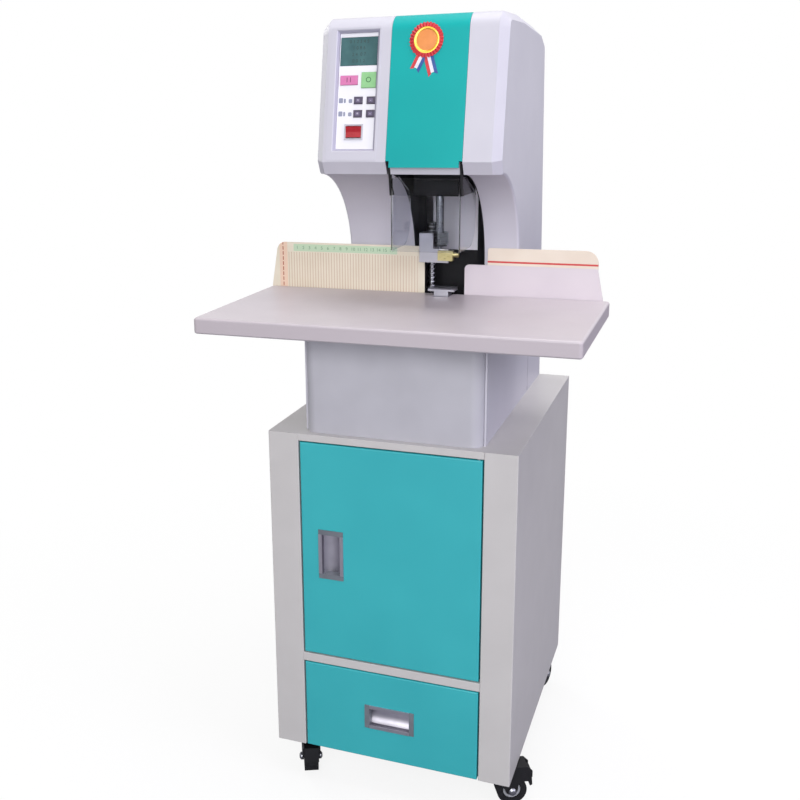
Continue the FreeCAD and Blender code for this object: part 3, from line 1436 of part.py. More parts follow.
def biarc(start, start_way, end, end_way):
    """Two arcs, tangent to each other and to both ways."""
    span = end - start
    ways = start_way + end_way
    square = 2 * (1 - start_way.dot(end_way))
    along = span.dot(ways)
    reach = (math.sqrt(along * along + square * span.dot(span)) - along) / square
    middle = (start + end + (start_way - end_way) * reach) * 0.5
    arcs = []
    for first, way, last in ((start, start_way, middle), (end, end_way * -1, middle)):
        chord = last - first
        across = (chord - way * chord.dot(way)).normalize()
        angle = chord.getAngle(way)
        radius = chord.Length / (2 * math.sin(angle))
        centre = first + across * radius
        bow = centre + (chord * 0.5 + first - centre).normalize() * radius
        arcs.append((first, bow, last))
    (a, b, c), (d, e, f) = arcs
    return [Part.Arc(a, b, c).toShape(), Part.Arc(f, e, d).toShape()]


def least_gap(path, turns):
    """The least distance between points of a coiled path that lie half a turn or more apart."""
    points = path.discretize(Number=24 * turns + 1)
    return min((points[j] - points[i]).Length for i in range(len(points)) for j in range(i + 12, len(points)))


def press_spring():
    """The coil spring round the post, one unbroken wire from the seat up to the foot's lug."""
    radius = number("spring_radius")
    wire_radius = number("spring_wire") / 2
    low = number("frame_shelf + seat_height")
    high = number("foot_bottom")
    turns = int(SIZES["spring_turns"])
    rise = (high - low - 2 * wire_radius) / turns
    quarter = math.pi / 2
    edges = []
    for index in range(4 * turns):
        start, start_way = helix_point(radius, rise, index * quarter)
        end, end_way = helix_point(radius, rise, (index + 1) * quarter)
        edges += biarc(start, start_way, end, end_way)
    path = Part.Wire(edges)
    start, start_way = helix_point(radius, rise, 0)
    across = Vector(0, 0, 1).cross(start_way).normalize()
    up = start_way.cross(across)
    sides = int(SIZES["spring_sides"])
    corners = []
    for index in range(sides):
        angle = 2 * math.pi * (index + 1 / 2) / sides
        spoke = across * math.cos(angle) + up * math.sin(angle)
        corners.append(start + spoke * wire_radius)
    wire = path.makePipeShell([Part.makePolygon(corners + corners[:1])], True, False)
    print(f"spring: least gap to itself {least_gap(path, turns) - 2 * wire_radius:.2f} mm")
    item = doc.addObject("Part::Feature", "spring_wire_round")
    item.Shape = wire
    keep(item, "press_spring", ("post_side", "post_depth", "frame_shelf + seat_height + spring_wire / 2"))


# Safety guard


def safety_guard():
    """The clear guard: a bent front pane with a wing on each side, round at the heel."""
    left, right, wall = "guard_left", "guard_right", "guard_wall"
    radius, face, tail = "guard_corner_radius", "guard_front", "guard_back"
    inner = f"{radius} - {wall}"
    outline = [
        (left, tail), (left, f"{face} + {radius}", radius, "right"), (f"{left} + {radius}", face),
        (f"{right} - {radius}", face, radius, "right"), (right, f"{face} + {radius}"), (right, tail),
        (f"{right} - {wall}", tail), (f"{right} - {wall}", f"{face} + {radius}", inner, "left"),
        (f"{right} - {radius}", f"{face} + {wall}"),
        (f"{left} + {radius}", f"{face} + {wall}", inner, "left"),
        (f"{left} + {wall}", f"{face} + {radius}"), (f"{left} + {wall}", tail),
    ]
    body = pad_body("guard", "XY_Plane", outline, "guard_bottom", "guard_top - guard_bottom")
    back, low = number(tail), number("guard_bottom")
    round_edges(body, "guard_heels",
                lambda edge: runs_along(edge, 0) and lies_at(edge, 1, back) and lies_at(edge, 2, low),
                "guard_heel_radius")
    neck = [
        ("guard_pivot_depth + guard_neck", "guard_top + overrun"),
        ("guard_back + overrun", "guard_bottom + guard_heel_radius * 2"),
        ("guard_back + overrun", "guard_top + overrun"),
    ]
    add_pocket(body, "guard_neck_cut", "YZ_Plane", neck, f"{left} - overrun",
               f"{right} - {left} + 2 * overrun")
    keep(body, "safety_guard")


def guard_arms():
    """The two black arms outside the guard's wings, hooked up through the chin's notches."""
    arms = []
    reach = "guard_pin_radius * 2"
    for is_left in (True, False):
        side = "left" if is_left else "right"
        start = "guard_left - guard_arm_thick" if is_left else "guard_right"
        outline = [
            ("guard_front + guard_corner_radius", "guard_top - guard_arm_width * 2"),
            ("guard_front + guard_corner_radius + guard_arm_width", "guard_top - guard_arm_width * 2"),
            (f"guard_pivot_depth + {reach}", "guard_top - guard_arm_width"),
            (f"guard_pivot_depth + {reach}", "guard_pivot_level + guard_hook"),
            ("guard_pivot_depth - guard_hook", "guard_pivot_level + guard_hook"),
            (f"guard_pivot_depth - {reach}", "head_bottom"),
        ]
        body = pad_body("arm_" + side, "YZ_Plane", outline, start, "guard_arm_thick")
        pin_low = start if is_left else "slot_right - ear_inset - ear_thick"
        pin = rod("arm_pin_" + side, "guard_pin_radius",
                  "ear_inset + ear_thick + guard_arm_thick - guard_side_gap",
                  (pin_low, "guard_pivot_depth", "guard_pivot_level"), "x")
        arms.append(join("arm_with_pin_" + side, [body, pin]))
    keep(group("arms", arms), "guard_arms")


# Control panel, drawn flat: X across, Y up the face, Z out of it


KEYS = {
    "rivet_key": ("rivet_key_left", "rivet_key_low", "rivet_key_width", "rivet_key_height"),
    "drill_key": ("drill_key_left", "drill_key_low", "drill_key_width", "drill_key_height"),
    "set_key_1": ("small_key_left", "small_key_low + small_key_rise", "small_key_width",
                  "small_key_height"),
    "set_key_2": ("small_key_left + small_key_step", "small_key_low + small_key_rise",
                  "small_key_width", "small_key_height"),
    "set_key_3": ("small_key_left", "small_key_low", "small_key_width", "small_key_height"),
    "set_key_4": ("small_key_left + small_key_step", "small_key_low", "small_key_width",
                  "small_key_height"),
}


def floor_cut(name, left, low, width, height):
    """A rectangular hole through the bezel's floor."""
    return block(name, (width, height, "bezel_floor + 2 * overrun"), (left, low, "plate_back - overrun"))


def control_bezel():
    """The recessed frame with sloping walls, its floor cut for window, keys and rocker."""
    body = pad_body("bezel_body", "XY_Plane",
                    rectangle("bezel_left + bezel_lip + seam", "bezel_low + bezel_lip + seam",
                              "bezel_top_side - bezel_lip - seam", "bezel_high - bezel_lip - seam"),
                    "plate_back", "bezel_deep + bezel_floor")
    add_pad(body, "bezel_rim", "XY_Plane",
            rectangle("bezel_left", "bezel_low", "bezel_top_side", "bezel_high"), "0", "bezel_proud")
    corners = [("bezel_left", "bezel_low"), ("bezel_left", "bezel_high"), ("bezel_top_side", "bezel_low"),
               ("bezel_top_side", "bezel_high")]
    spots = [(number(side), number(level)) for side, level in corners]
    round_edges(body, "bezel_corners",
                lambda edge: runs_along(edge, 2) and any(lies_at(edge, 0, side) and lies_at(edge, 1, level)
                                                         for side, level in spots), "bezel_slope")
    add_pocket(body, "bezel_pocket", "XY_Plane",
               rectangle("bezel_left + bezel_rim_left + seam", "bezel_low + bezel_rim_low + seam",
                         "bezel_top_side - bezel_rim_right - seam", "bezel_high - bezel_rim_high - seam"),
               "plate_level", "bezel_deep + bezel_proud + overrun")
    top = number("bezel_proud")
    inside = (number("bezel_left + bezel_slope"), number("bezel_top_side - bezel_slope"))
    limits = (number("bezel_low + bezel_slope"), number("bezel_high - bezel_slope"))
    bevel_edges(body, "bezel_slopes",
                lambda edge: lies_at(edge, 2, top) and inside[0] < edge.CenterOfMass.x < inside[1]
                and limits[0] < edge.CenterOfMass.y < limits[1]
                and edge.BoundBox.XMin > inside[0] and edge.BoundBox.XMax < inside[1], "bezel_slope")
    cuts = [floor_cut("cut_window", "window_left - key_clear", "window_low - key_clear",
                      "window_width + 2 * key_clear", "window_height + 2 * key_clear"),
            floor_cut("cut_rocker", "rocker_left - seam", "rocker_low - seam", "rocker_width + 2 * seam",
                      "rocker_height + 2 * seam")]
    for name, (left, low, width, height) in KEYS.items():
        cuts.append(floor_cut("cut_" + name, f"{left} - key_clear", f"{low} - key_clear",
                              f"{width} + 2 * key_clear", f"{height} + 2 * key_clear"))
    to_face(cut_out("bezel", body, cuts), "control_bezel")


def display_window():
    """The display's glass, set into the floor, with its backing flange behind."""
    glass = block("window_glass", ("window_width", "window_height", "bezel_floor + seam"),
                  ("window_left", "window_low", "plate_back"))
    flange = block("window_flange", ("window_width + 2 * key_flange", "window_height + 2 * key_flange",
                                     "key_flange"),
                   ("window_left - key_flange", "window_low - key_flange", "plate_back - key_flange"))
    to_face(join("window", [glass, flange]), "display_window")


def push_keys():
    """Six push keys, each with a soft rim and a flange behind the floor that stops it."""
    for name, (left, low, width, height) in KEYS.items():
        body = pad_body(name + "_cap", "XY_Plane",
                        rectangle(left, low, f"{left} + {width}", f"{low} + {height}"),
                        "plate_back - seam", "bezel_floor + key_rise + seam")
        add_pad(body, name + "_flange", "XY_Plane",
                rectangle(f"{left} - key_flange", f"{low} - key_flange",
                          f"{left} + {width} + key_flange", f"{low} + {height} + key_flange"),
                "plate_back - seam - key_flange", "key_flange")
        top = number("plate_level + key_rise")
        round_edges(body, name + "_rim", lambda edge: lies_at(edge, 2, top), "key_rise / 2")
        to_face(body, name)


def rocker():
    """The mains rocker and the frame that it tilts in."""
    edge = "rocker_rim"
    body = pad_body("rocker_ring", "XY_Plane",
                    rectangle(f"rocker_left - {edge}", f"rocker_low - {edge}",
                              f"rocker_left + rocker_width + {edge}",
                              f"rocker_low + rocker_height + {edge}"),
                    "plate_level", "rocker_rim_thick")
    add_pad(body, "rocker_box", "XY_Plane",
            rectangle("rocker_left", "rocker_low", "rocker_left + rocker_width",
                      "rocker_low + rocker_height"),
            "plate_back - rocker_height / 2", "bezel_floor + rocker_height / 2")
    add_pocket(body, "rocker_well", "XY_Plane",
               rectangle("rocker_left + rocker_wall", "rocker_low + rocker_wall",
                         "rocker_left + rocker_width - rocker_wall",
                         "rocker_low + rocker_height - rocker_wall"),
               "plate_back - rocker_height / 2 + rocker_rim_thick",
               "rocker_height + bezel_floor + rocker_rim_thick")
    middle = "(rocker_low + rocker_height / 2)"
    foot = ("rocker_left", middle, "plate_level")
    bore = rod("rocker_bore", "rocker_pin_radius + running_clear", "rocker_width", foot, "x")
    to_face(cut_out("rocker_housing", body, [bore]), "rocker_frame")
    level = "plate_level + rocker_rim_thick"
    half = "(rocker_height / 2 - rocker_wall - rocker_play)"
    outline = [
        (f"{middle} - {half} / 2", f"{level} - 2 * rocker_tip"),
        (f"{middle} + {half} / 2", f"{level} - 2 * rocker_tip"),
        (f"{middle} + {half}", f"{level} - seam"), (f"{middle} + {half}", f"{level} + rocker_tip"),
        (middle, f"{level} + seam"), (f"{middle} - {half}", f"{level} + seam"),
        (f"{middle} - {half}", f"{level} - seam"),
    ]
    paddle = pad_body("rocker_paddle", "YZ_Plane", outline, "rocker_left + rocker_wall + seam",
                      "rocker_width - 2 * (rocker_wall + seam)")
    pin = rod("rocker_pin", "rocker_pin_radius", "rocker_width", foot, "x")
    to_face(join("rocker_with_pin", [paddle, pin]), "rocker_switch")


def build():
    """Make every sub-part."""
    cabinet_side("cabinet_side_left", True)
    cabinet_side("cabinet_side_right", False)
    cabinet_floor_pan()
    cabinet_back_panel()
    cabinet_top_deck()
    cabinet_mid_shelf()
    door_pivots()
    drawer_runners()
    door_panel()
    drawer_front()
    drawer_tray()
    pulls()
    casters()
    base_front_cover()
    side_shells()
    head_front_panel()
    head_bottom_plate()
    rear_cover()
    mains_inlet()
    work_table()
    guides()
    press_frame()
    throat_lining()
    drill_carriage()
    drill_motor()
    drill_spindle()
    hollow_drill()
    press_foot()
    rivet_head()
    guide_post()
    anvil_plate()
    press_spring()
    safety_guard()
    guard_arms()
    control_bezel()
    display_window()
    push_keys()
    rocker()
    doc.recompute()


def check():
    """Stop if any object failed or any sub-part is empty or unsound."""
    for item in doc.Objects:
        if "Invalid" in item.State or "Error" in item.State:
            raise ValueError(f"{item.Name} ({item.Label}) failed: {item.State}")
    for item in sub_parts:
        shape = item.Shape
        if shape.isNull() or not shape.isValid() or not shape.Solids:
            raise ValueError(f"{item.Label} has no sound shape")


def write():
    """Write one STEP file for each sub-part."""
    os.makedirs("parts", exist_ok=True)
    for item in sub_parts:
        item.Shape.exportStep(f"parts/{item.Label}.step")
    print(f"{len(sub_parts)} sub-parts")


build()
check()
write()
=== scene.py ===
# %% [markdown]
# # A document riveting machine
# The machine drills a hole through a stack of vouchers and presses a plastic rivet into it. Its shapes
# and sizes come from a measured model. This file gives every piece its real finish, adds the small
# things that only a close look shows, and sets up light and camera for one picture.

# %% Load the measured model
import json
import math

import bmesh
import bpy
from mathutils import Matrix, Vector


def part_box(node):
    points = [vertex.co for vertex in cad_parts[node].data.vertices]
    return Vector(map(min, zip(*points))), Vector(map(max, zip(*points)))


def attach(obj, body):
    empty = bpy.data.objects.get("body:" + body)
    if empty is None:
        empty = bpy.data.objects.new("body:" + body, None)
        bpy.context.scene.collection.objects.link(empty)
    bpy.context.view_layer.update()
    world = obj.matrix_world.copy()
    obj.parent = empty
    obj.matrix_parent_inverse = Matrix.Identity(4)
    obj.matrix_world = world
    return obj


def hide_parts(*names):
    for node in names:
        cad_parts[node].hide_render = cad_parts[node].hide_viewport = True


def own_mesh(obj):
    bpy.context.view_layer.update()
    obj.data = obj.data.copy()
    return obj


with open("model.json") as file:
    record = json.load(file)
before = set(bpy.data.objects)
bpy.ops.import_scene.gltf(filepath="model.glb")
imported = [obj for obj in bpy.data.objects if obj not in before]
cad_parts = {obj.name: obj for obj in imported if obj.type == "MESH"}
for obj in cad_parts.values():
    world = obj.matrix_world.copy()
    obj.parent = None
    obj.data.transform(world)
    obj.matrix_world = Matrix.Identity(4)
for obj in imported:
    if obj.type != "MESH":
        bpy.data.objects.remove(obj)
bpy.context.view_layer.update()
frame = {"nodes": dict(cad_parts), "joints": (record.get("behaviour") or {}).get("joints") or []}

print("pieces in the measured model:", len(frame["nodes"]))

# %% [markdown]
# ## Sizes
# Blender works in metres, and a maker of such machines thinks in millimetres, so every length is a
# number of millimetres times MM. X runs to the right, the operator stands at negative Y, and Z is up
# from the floor. The cabinet's front face lies 209.5 mm in front of the middle, so depths that were
# measured from that face go through one function.

# %% Units and places
MM = 0.001
CABINET_FRONT = -209.5


def place(across, depth, level):
    """A point in metres from millimetres, with the depth counted from the cabinet's front."""
    return Vector((across * MM, (CABINET_FRONT + depth) * MM, level * MM))


FACE_LEAN = math.radians(10.7)
FACE_FRONT = 85
FACE_FOOT = 1043

# The leaning face of the head as a drawing board: X across, Y up the face, Z out of it.
face_board = (Matrix.Translation(place(0, FACE_FRONT, FACE_FOOT))
              @ Matrix.Rotation(math.pi / 2 - FACE_LEAN, 4, "X"))
print("face board starts at", [round(v, 4) for v in face_board.translation])

# %% [markdown]
# ## Colours and nodes
# Paint makers write colours as they look on a screen. Blender computes with light, so one function
# turns each hex value into linear numbers. A second function adds a shader node together with its
# settings and its links, which keeps every material below readable as a recipe.


# %% Colour and node helpers
def colour(hex_text):
    """A hex colour, as a screen shows it, in the linear values that light is computed in."""
    parts = [int(hex_text[i:i + 2], 16) / 255 for i in (1, 3, 5)]
    linear = [p / 12.92 if p <= 0.04045 else ((p + 0.055) / 1.055) ** 2.4 for p in parts]
    return (*linear, 1.0)


def add_node(tree, kind, inputs=None, **settings):
    """One node with its settings, its values and its links."""
    made = tree.nodes.new(kind)
    for name, value in settings.items():
        setattr(made, name, value)
    for name, value in (inputs or {}).items():
        if isinstance(value, bpy.types.NodeSocket):
            tree.links.new(value, made.inputs[name])
        else:
            made.inputs[name].default_value = value
    return made


def start_finish(name, base, roughness, metallic=0.0, ior=1.5):
    """A new material with its shader: tree, shader and the piece's own coordinates."""
    material = bpy.data.materials.new(name)
    material.use_nodes = True
    tree = material.node_tree
    shader = tree.nodes["Principled BSDF"]
    shader.inputs["Base Color"].default_value = colour(base)
    shader.inputs["Roughness"].default_value = roughness
    shader.inputs["Metallic"].default_value = metallic
    shader.inputs["IOR"].default_value = ior
    where = add_node(tree, "ShaderNodeTexCoord").outputs["Object"]
    return material, tree, shader, where


def speckle(tree, where, grain, detail=2.0):
    """Noise whose grains are so many millimetres across, from 0 to 1."""
    inputs = {"Vector": where, "Scale": 1 / (grain * MM), "Detail": detail}
    return add_node(tree, "ShaderNodeTexNoise", inputs).outputs["Fac"]


def spread(tree, value, low, high, start=0.3, end=0.7):
    """The noise stretched to run between two values."""
    ramp = {"Value": value, "From Min": start, "From Max": end, "To Min": low, "To Max": high}
    return add_node(tree, "ShaderNodeMapRange", ramp).outputs["Result"]


def blend_colours(tree, share, first, second):
    """One colour passing into another; each is a hex text or a socket."""
    mix = add_node(tree, "ShaderNodeMix", data_type="RGBA")
    tree.links.new(share, mix.inputs["Factor"])
    for socket, value in ((mix.inputs[6], first), (mix.inputs[7], second)):
        if isinstance(value, str):
            socket.default_value = colour(value)
        else:
            tree.links.new(value, socket)
    return mix.outputs[2]


def relief(tree, shader, height, depth, edge=0.5):
    """Give the shader a fine relief, over edges that are softened by so many millimetres."""
    softened = add_node(tree, "ShaderNodeBevel", {"Radius": edge * MM}, samples=4).outputs["Normal"]
    inputs = {"Height": height, "Distance": depth * MM, "Normal": softened}
    bumped = add_node(tree, "ShaderNodeBump", inputs)
    tree.links.new(bumped.outputs["Normal"], shader.inputs["Normal"])


def calculate(tree, operation, first, second=0.0, third=0.0):
    """One step of arithmetic on sockets and numbers."""
    made = add_node(tree, "ShaderNodeMath", operation=operation)
    for socket, value in zip(made.inputs, (first, second, third)):
        if isinstance(value, bpy.types.NodeSocket):
            tree.links.new(value, socket)
        else:
            socket.default_value = value
    return made.outputs[0]


def band(tree, value, low, high):
    """One where a coordinate lies between two places in millimetres, else zero."""
    above = calculate(tree, "GREATER_THAN", value, low * MM)
    below = calculate(tree, "LESS_THAN", value, high * MM)
    return calculate(tree, "MULTIPLY", above, below)


def repeated(tree, value, pitch, share):
    """One over the first share of every pitch in millimetres, else zero."""
    phase = calculate(tree, "FRACT", calculate(tree, "DIVIDE", value, pitch * MM))
    return calculate(tree, "LESS_THAN", phase, share)


# %% [markdown]
# ## Sprayed and moulded finishes
# Powder coat is sprayed as dry powder and melted in an oven, which leaves a fine orange peel. Moulded
# plastic copies the spark-eroded texture of its tool, which is finer and duller. Both have the same
# parts: a slow drift of the shade, a roughness that varies with the grain, and a shallow relief. So one
# recipe makes them, and each real finish is a function that gives its own numbers.


# %% Coated and moulded surfaces
GLOSS_DRIFT = 0.05


def coat(name, light, dark, grain, depth, roughness, drift=70.0, edge=0.6, ior=1.5):
    """A coat with a grain, a slow drift between two shades and softened edges."""
    material, tree, shader, where = start_finish(name, light, roughness, ior=ior)
    slow = spread(tree, speckle(tree, where, drift), 0.0, 1.0)
    fine = speckle(tree, where, grain, 3.0)
    tree.links.new(blend_colours(tree, slow, light, dark), shader.inputs["Base Color"])
    rough = spread(tree, fine, roughness - GLOSS_DRIFT, roughness + GLOSS_DRIFT)
    tree.links.new(rough, shader.inputs["Roughness"])
    relief(tree, shader, fine, depth, edge)
    return material


def grey_powder_coat():
    """Warm grey powder coat on folded steel: the cabinet. Satin, with a faint orange peel."""
    return coat("powder_coat_warm_grey", "#CCC9C8", "#C8C5C4", 1.6, 0.035, 0.4, edge=0.9)


def teal_powder_coat():
    """Teal powder coat on the folded fronts: the same peel, a little glossier."""
    return coat("powder_coat_teal", "#3AB5BC", "#35AEB6", 1.6, 0.03, 0.36, drift=140.0, edge=0.9)


def base_powder_coat():
    """Cool grey powder coat on the bent covers of the machine's base."""
    return coat("powder_coat_cool_grey", "#BDBCC4", "#B6B5BD", 1.6, 0.03, 0.4, edge=0.8)


def grey_moulding():
    """Pale lavender grey ABS of the two side shells, with the fine texture of its tool."""
    return coat("abs_shell_grey", "#C8C6D0", "#C1BFCA", 0.9, 0.02, 0.44, drift=120.0, edge=0.7, ior=1.53)


def teal_moulding():
    """Teal ABS of the strip up the head, smoother than the shells, so it shines more."""
    return coat("abs_strip_teal", "#0CA9A6", "#099F9E", 0.9, 0.012, 0.5, drift=160.0, edge=0.6, ior=1.3)


TOP_FACES = 0.6


def table_laminate():
    """Sprayed board of the table top: rosy grey, with faces that do not point up painted slightly darker
    as painted shade.
    """
    material, tree, shader, where = start_finish("sprayed_board_rosy_grey", "#C6BEC2", 0.38)
    fine = speckle(tree, where, 1.2, 3.0)
    slow = spread(tree, speckle(tree, where, 90.0), 0.0, 1.0)
    top = blend_colours(tree, slow, "#C5BCC1", "#BFB6BB")
    normal = add_node(tree, "ShaderNodeTexCoord").outputs["Normal"]
    upward = add_node(tree, "ShaderNodeSeparateXYZ", {"Vector": normal}).outputs["Z"]
    # painted shade: faces that do not point up get a slightly darker colour than the top
    side = calculate(tree, "LESS_THAN", upward, TOP_FACES)
    tree.links.new(blend_colours(tree, side, top, "#BFB6BC"), shader.inputs["Base Color"])
    tree.links.new(spread(tree, fine, 0.33, 0.43), shader.inputs["Roughness"])
    relief(tree, shader, fine, 0.02, 0.6)
    return material


def white_plate():
    """White painted plate of the right paper guide."""
    return coat("stove_enamel_white", "#D8CFD5", "#D2C9D0", 1.4, 0.012, 0.34, edge=0.4)


def black_nylon(name="nylon_black", shade="#111114", grain=0.8, dark="#18181B", ior=1.4):
    """Glass-filled nylon, as handles' ends and pedals are moulded of: dull and a little grainy."""
    return coat(name, shade, dark, grain, 0.03, 0.5, drift=30.0, edge=0.4, ior=ior)


# %% [markdown]
# ## Metals
# A brushed or turned metal scatters light along fine lines, because the tool ran one way. The lines
# come from noise that is stretched far along one axis. They are drawn a little wider than the real
# scratches, since those would be lost between two pixels.


# %% Brushed, turned and cast metals
def worked_metal(name, light, dark, roughness, line=0.4, stretch=(1, 1, 40), depth=0.006, edge=0.35):
    """Bare metal with fine tool lines that run along the stretched axis."""
    material, tree, shader, where = start_finish(name, light, roughness, metallic=1.0)
    stretched = add_node(tree, "ShaderNodeMapping", {"Vector": where, "Scale": [1 / s for s in stretch]})
    lines = speckle(tree, stretched.outputs["Vector"], line, 3.0)
    cloud = spread(tree, speckle(tree, where, 25.0), 0.0, 1.0)
    tree.links.new(blend_colours(tree, cloud, light, dark), shader.inputs["Base Color"])
    tree.links.new(spread(tree, lines, roughness - 0.06, roughness + 0.1), shader.inputs["Roughness"])
    relief(tree, shader, lines, depth, edge)
    return material


def handle_aluminium():
    """Anodised aluminium extrusion of the recessed pulls: silvery, with lines along its length."""
    return worked_metal("anodised_aluminium_pull", "#BDBAC4", "#B0ADB8", 0.34, 0.5, (1, 1, 60))


def handle_aluminium_lying():
    """The same extrusion lying across the drawer, so its lines run from side to side."""
    return worked_metal("anodised_aluminium_lying_pull", "#BDBAC4", "#B0ADB8", 0.34, 0.5, (60, 1, 1))


def zinc_plate():
    """Bright zinc plate on pressed steel, with a cloudy, slightly blue sheen."""
    return worked_metal("zinc_plated_steel", "#BFC2C6", "#AEB2B8", 0.32, 1.5, (1, 6, 1))


def polished_steel():
    """Ground tool steel of spindle and drill, dulled by oil."""
    return worked_metal("ground_steel", "#8E9097", "#7E8087", 0.26, 0.4, (12, 12, 1))


def milled_steel():
    """Milled steel of anvil and press foot, matt plated, lighter than the spindle."""
    return worked_metal("matt_plated_steel", "#B4B3BC", "#A8A7B1", 0.36, 0.6, (1, 12, 1))


def turned_brass():
    """Milled brass of the riveting block, a little dull from handling."""
    return worked_metal("milled_brass", "#D2C796", "#C0B480", 0.3, 0.5, (14, 1, 1))


def spring_wire():
    """Bright drawn steel of the spring and its post: grey with a sharp highlight."""
    return worked_metal("drawn_spring_wire", "#A4A5AB", "#85868D", 0.2, 0.5, (1, 1, 1))


def cast_iron_paint():
    """Dark machine enamel over cast iron: uneven, with the casting's skin showing through."""
    return coat("enamelled_cast_iron", "#17171B", "#1F1F23", 3.0, 0.12, 0.5, drift=40.0, edge=1.2,
                ior=1.2)


# Below this level the frame is painted black as painted shade, above it near white as painted light.
FRAME_PAINTED_SHADE_LEVEL = 885


def frame_enamel_painted_light_and_shade():
    """Enamel on the cast frame: near white behind the drill as painted light, black round the anvil as
    painted shade.
    """
    material, tree, shader, where = start_finish("frame_painted_light_and_shade", "#B9B5BF", 0.42, ior=1.25)
    level = add_node(tree, "ShaderNodeSeparateXYZ", {"Vector": where}).outputs["Z"]
    skin = speckle(tree, where, 3.0, 3.0)
    # painted light: near white, lighter than the frame's grey enamel, so that it looks lit inside the
    # throat
    pale = blend_colours(tree, skin, "#F0EDF5", "#E6E3EC")
    # painted shade: black where the throat behind the anvil lies in shade
    black = blend_colours(tree, skin, "#1A1A1E", "#232327")
    high = calculate(tree, "GREATER_THAN", level, FRAME_PAINTED_SHADE_LEVEL * MM)
    tree.links.new(blend_colours(tree, high, black, pale), shader.inputs["Base Color"])
    tree.links.new(spread(tree, skin, 0.36, 0.5), shader.inputs["Roughness"])
    relief(tree, shader, skin, 0.05, 0.8)
    return material


# %% [markdown]
# ## Clear, printed and soft materials
# The guard is bent polycarbonate: light goes through with little bending, so a thin sheet of real
# thickness with full transmission shows it. Prints are thin ink on paper or film, so they change the
# colour and nothing else. Their bands are laid out by place: the position in millimetres is compared
# with the edges of each band.


# %% Clear sheet, display and rubber
def clear_polycarbonate():
    """Clear polycarbonate sheet: glossy, with faint handling marks."""
    material, tree, shader, where = start_finish("clear_polycarbonate", "#E9EBEF", 0.05, ior=1.14)
    shader.inputs["Transmission Weight"].default_value = 1.0
    marks = speckle(tree, where, 12.0, 4.0)
    tree.links.new(spread(tree, marks, 0.02, 0.09), shader.inputs["Roughness"])
    return material


def smoked_polycarbonate():
    """Clear moulded shroud round the clamp, thick enough to look faintly grey."""
    material, tree, shader, where = start_finish("smoked_polycarbonate", "#C9CDD2", 0.12, ior=1.3)
    shader.inputs["Transmission Weight"].default_value = 0.85
    marks = speckle(tree, where, 4.0, 3.0)
    tree.links.new(spread(tree, marks, 0.08, 0.2), shader.inputs["Roughness"])
    return material


def display_film():
    """Unlit liquid crystal display behind its window: green grey, with a faint uneven cloud."""
    material, tree, shader, where = start_finish("display_film", "#45686B", 0.2, ior=1.3)
    cloud = spread(tree, speckle(tree, where, 22.0), 0.0, 1.0)
    tree.links.new(blend_colours(tree, cloud, "#4C7375", "#406265"), shader.inputs["Base Color"])
    tree.links.new(spread(tree, speckle(tree, where, 3.0), 0.08, 0.16), shader.inputs["Roughness"])
    return material


def tyre_rubber():
    """Moulded polyurethane tyre: black, with a ribbed tread worn slightly grey."""
    material, tree, shader, where = start_finish("caster_tyre_black", "#141417", 0.5, ior=1.4)
    dust = spread(tree, speckle(tree, where, 6.0, 4.0), 0.0, 1.0, 0.45, 0.75)
    tree.links.new(blend_colours(tree, dust, "#0F0F12", "#222226"), shader.inputs["Base Color"])
    fine = speckle(tree, where, 0.7, 2.0)
    tree.links.new(spread(tree, fine, 0.45, 0.65), shader.inputs["Roughness"])
    relief(tree, shader, fine, 0.04, 0.8)
    return material


# %% Printed guides
RULING_PITCH, RULING_SHARE = 5.0, 0.3
RULING_ENDS, RULING_TOP = (-262.0, -24.0), 879
STRIP_ENDS, STRIP_LEVELS = (-250.0, -60.0), (880.5, 893.0)
END_BAND, END_LINE = (-277.0, -262.0), (-271.2, -269.4)
DASH_PITCH, DASH_SHARE = 9, 0.72
GAUGE_LINE = (872.0, 875.0)


def ruled_guide():
    """Cream paper under clear film on the left guide: fine ruling, a green strip and an end mark."""
    material, tree, shader, where = start_finish("ruled_guide_film", "#E8DFCC", 0.35)
    split = add_node(tree, "ShaderNodeSeparateXYZ", {"Vector": where})
    across, level = split.outputs["X"], split.outputs["Z"]
    ruled = repeated(tree, across, RULING_PITCH, RULING_SHARE)
    inside = band(tree, across, *RULING_ENDS)
    below = calculate(tree, "LESS_THAN", level, RULING_TOP * MM)
    ruling = calculate(tree, "MULTIPLY", calculate(tree, "MULTIPLY", ruled, inside), below)
    cloud = spread(tree, speckle(tree, where, 40.0), 0.0, 1.0)
    paper = blend_colours(tree, cloud, "#E9E0CE", "#E3D9C6")
    thin_ink = calculate(tree, "MULTIPLY", ruling, 0.75)
    print_colour = blend_colours(tree, thin_ink, paper, "#C9AC94")
    strip = calculate(tree, "MULTIPLY", band(tree, across, *STRIP_ENDS), band(tree, level, *STRIP_LEVELS))
    print_colour = blend_colours(tree, strip, print_colour, "#C3D9BC")
    end_band = calculate(tree, "MULTIPLY", band(tree, across, *END_BAND), 0.8)
    print_colour = blend_colours(tree, end_band, print_colour, "#EBC9B2")
    dash = repeated(tree, level, DASH_PITCH, DASH_SHARE)
    end_line = calculate(tree, "MULTIPLY", band(tree, across, *END_LINE), dash)
    print_colour = blend_colours(tree, end_line, print_colour, "#B0644F")
    tree.links.new(print_colour, shader.inputs["Base Color"])
    tree.links.new(spread(tree, speckle(tree, where, 5.0), 0.3, 0.42), shader.inputs["Roughness"])
    return material


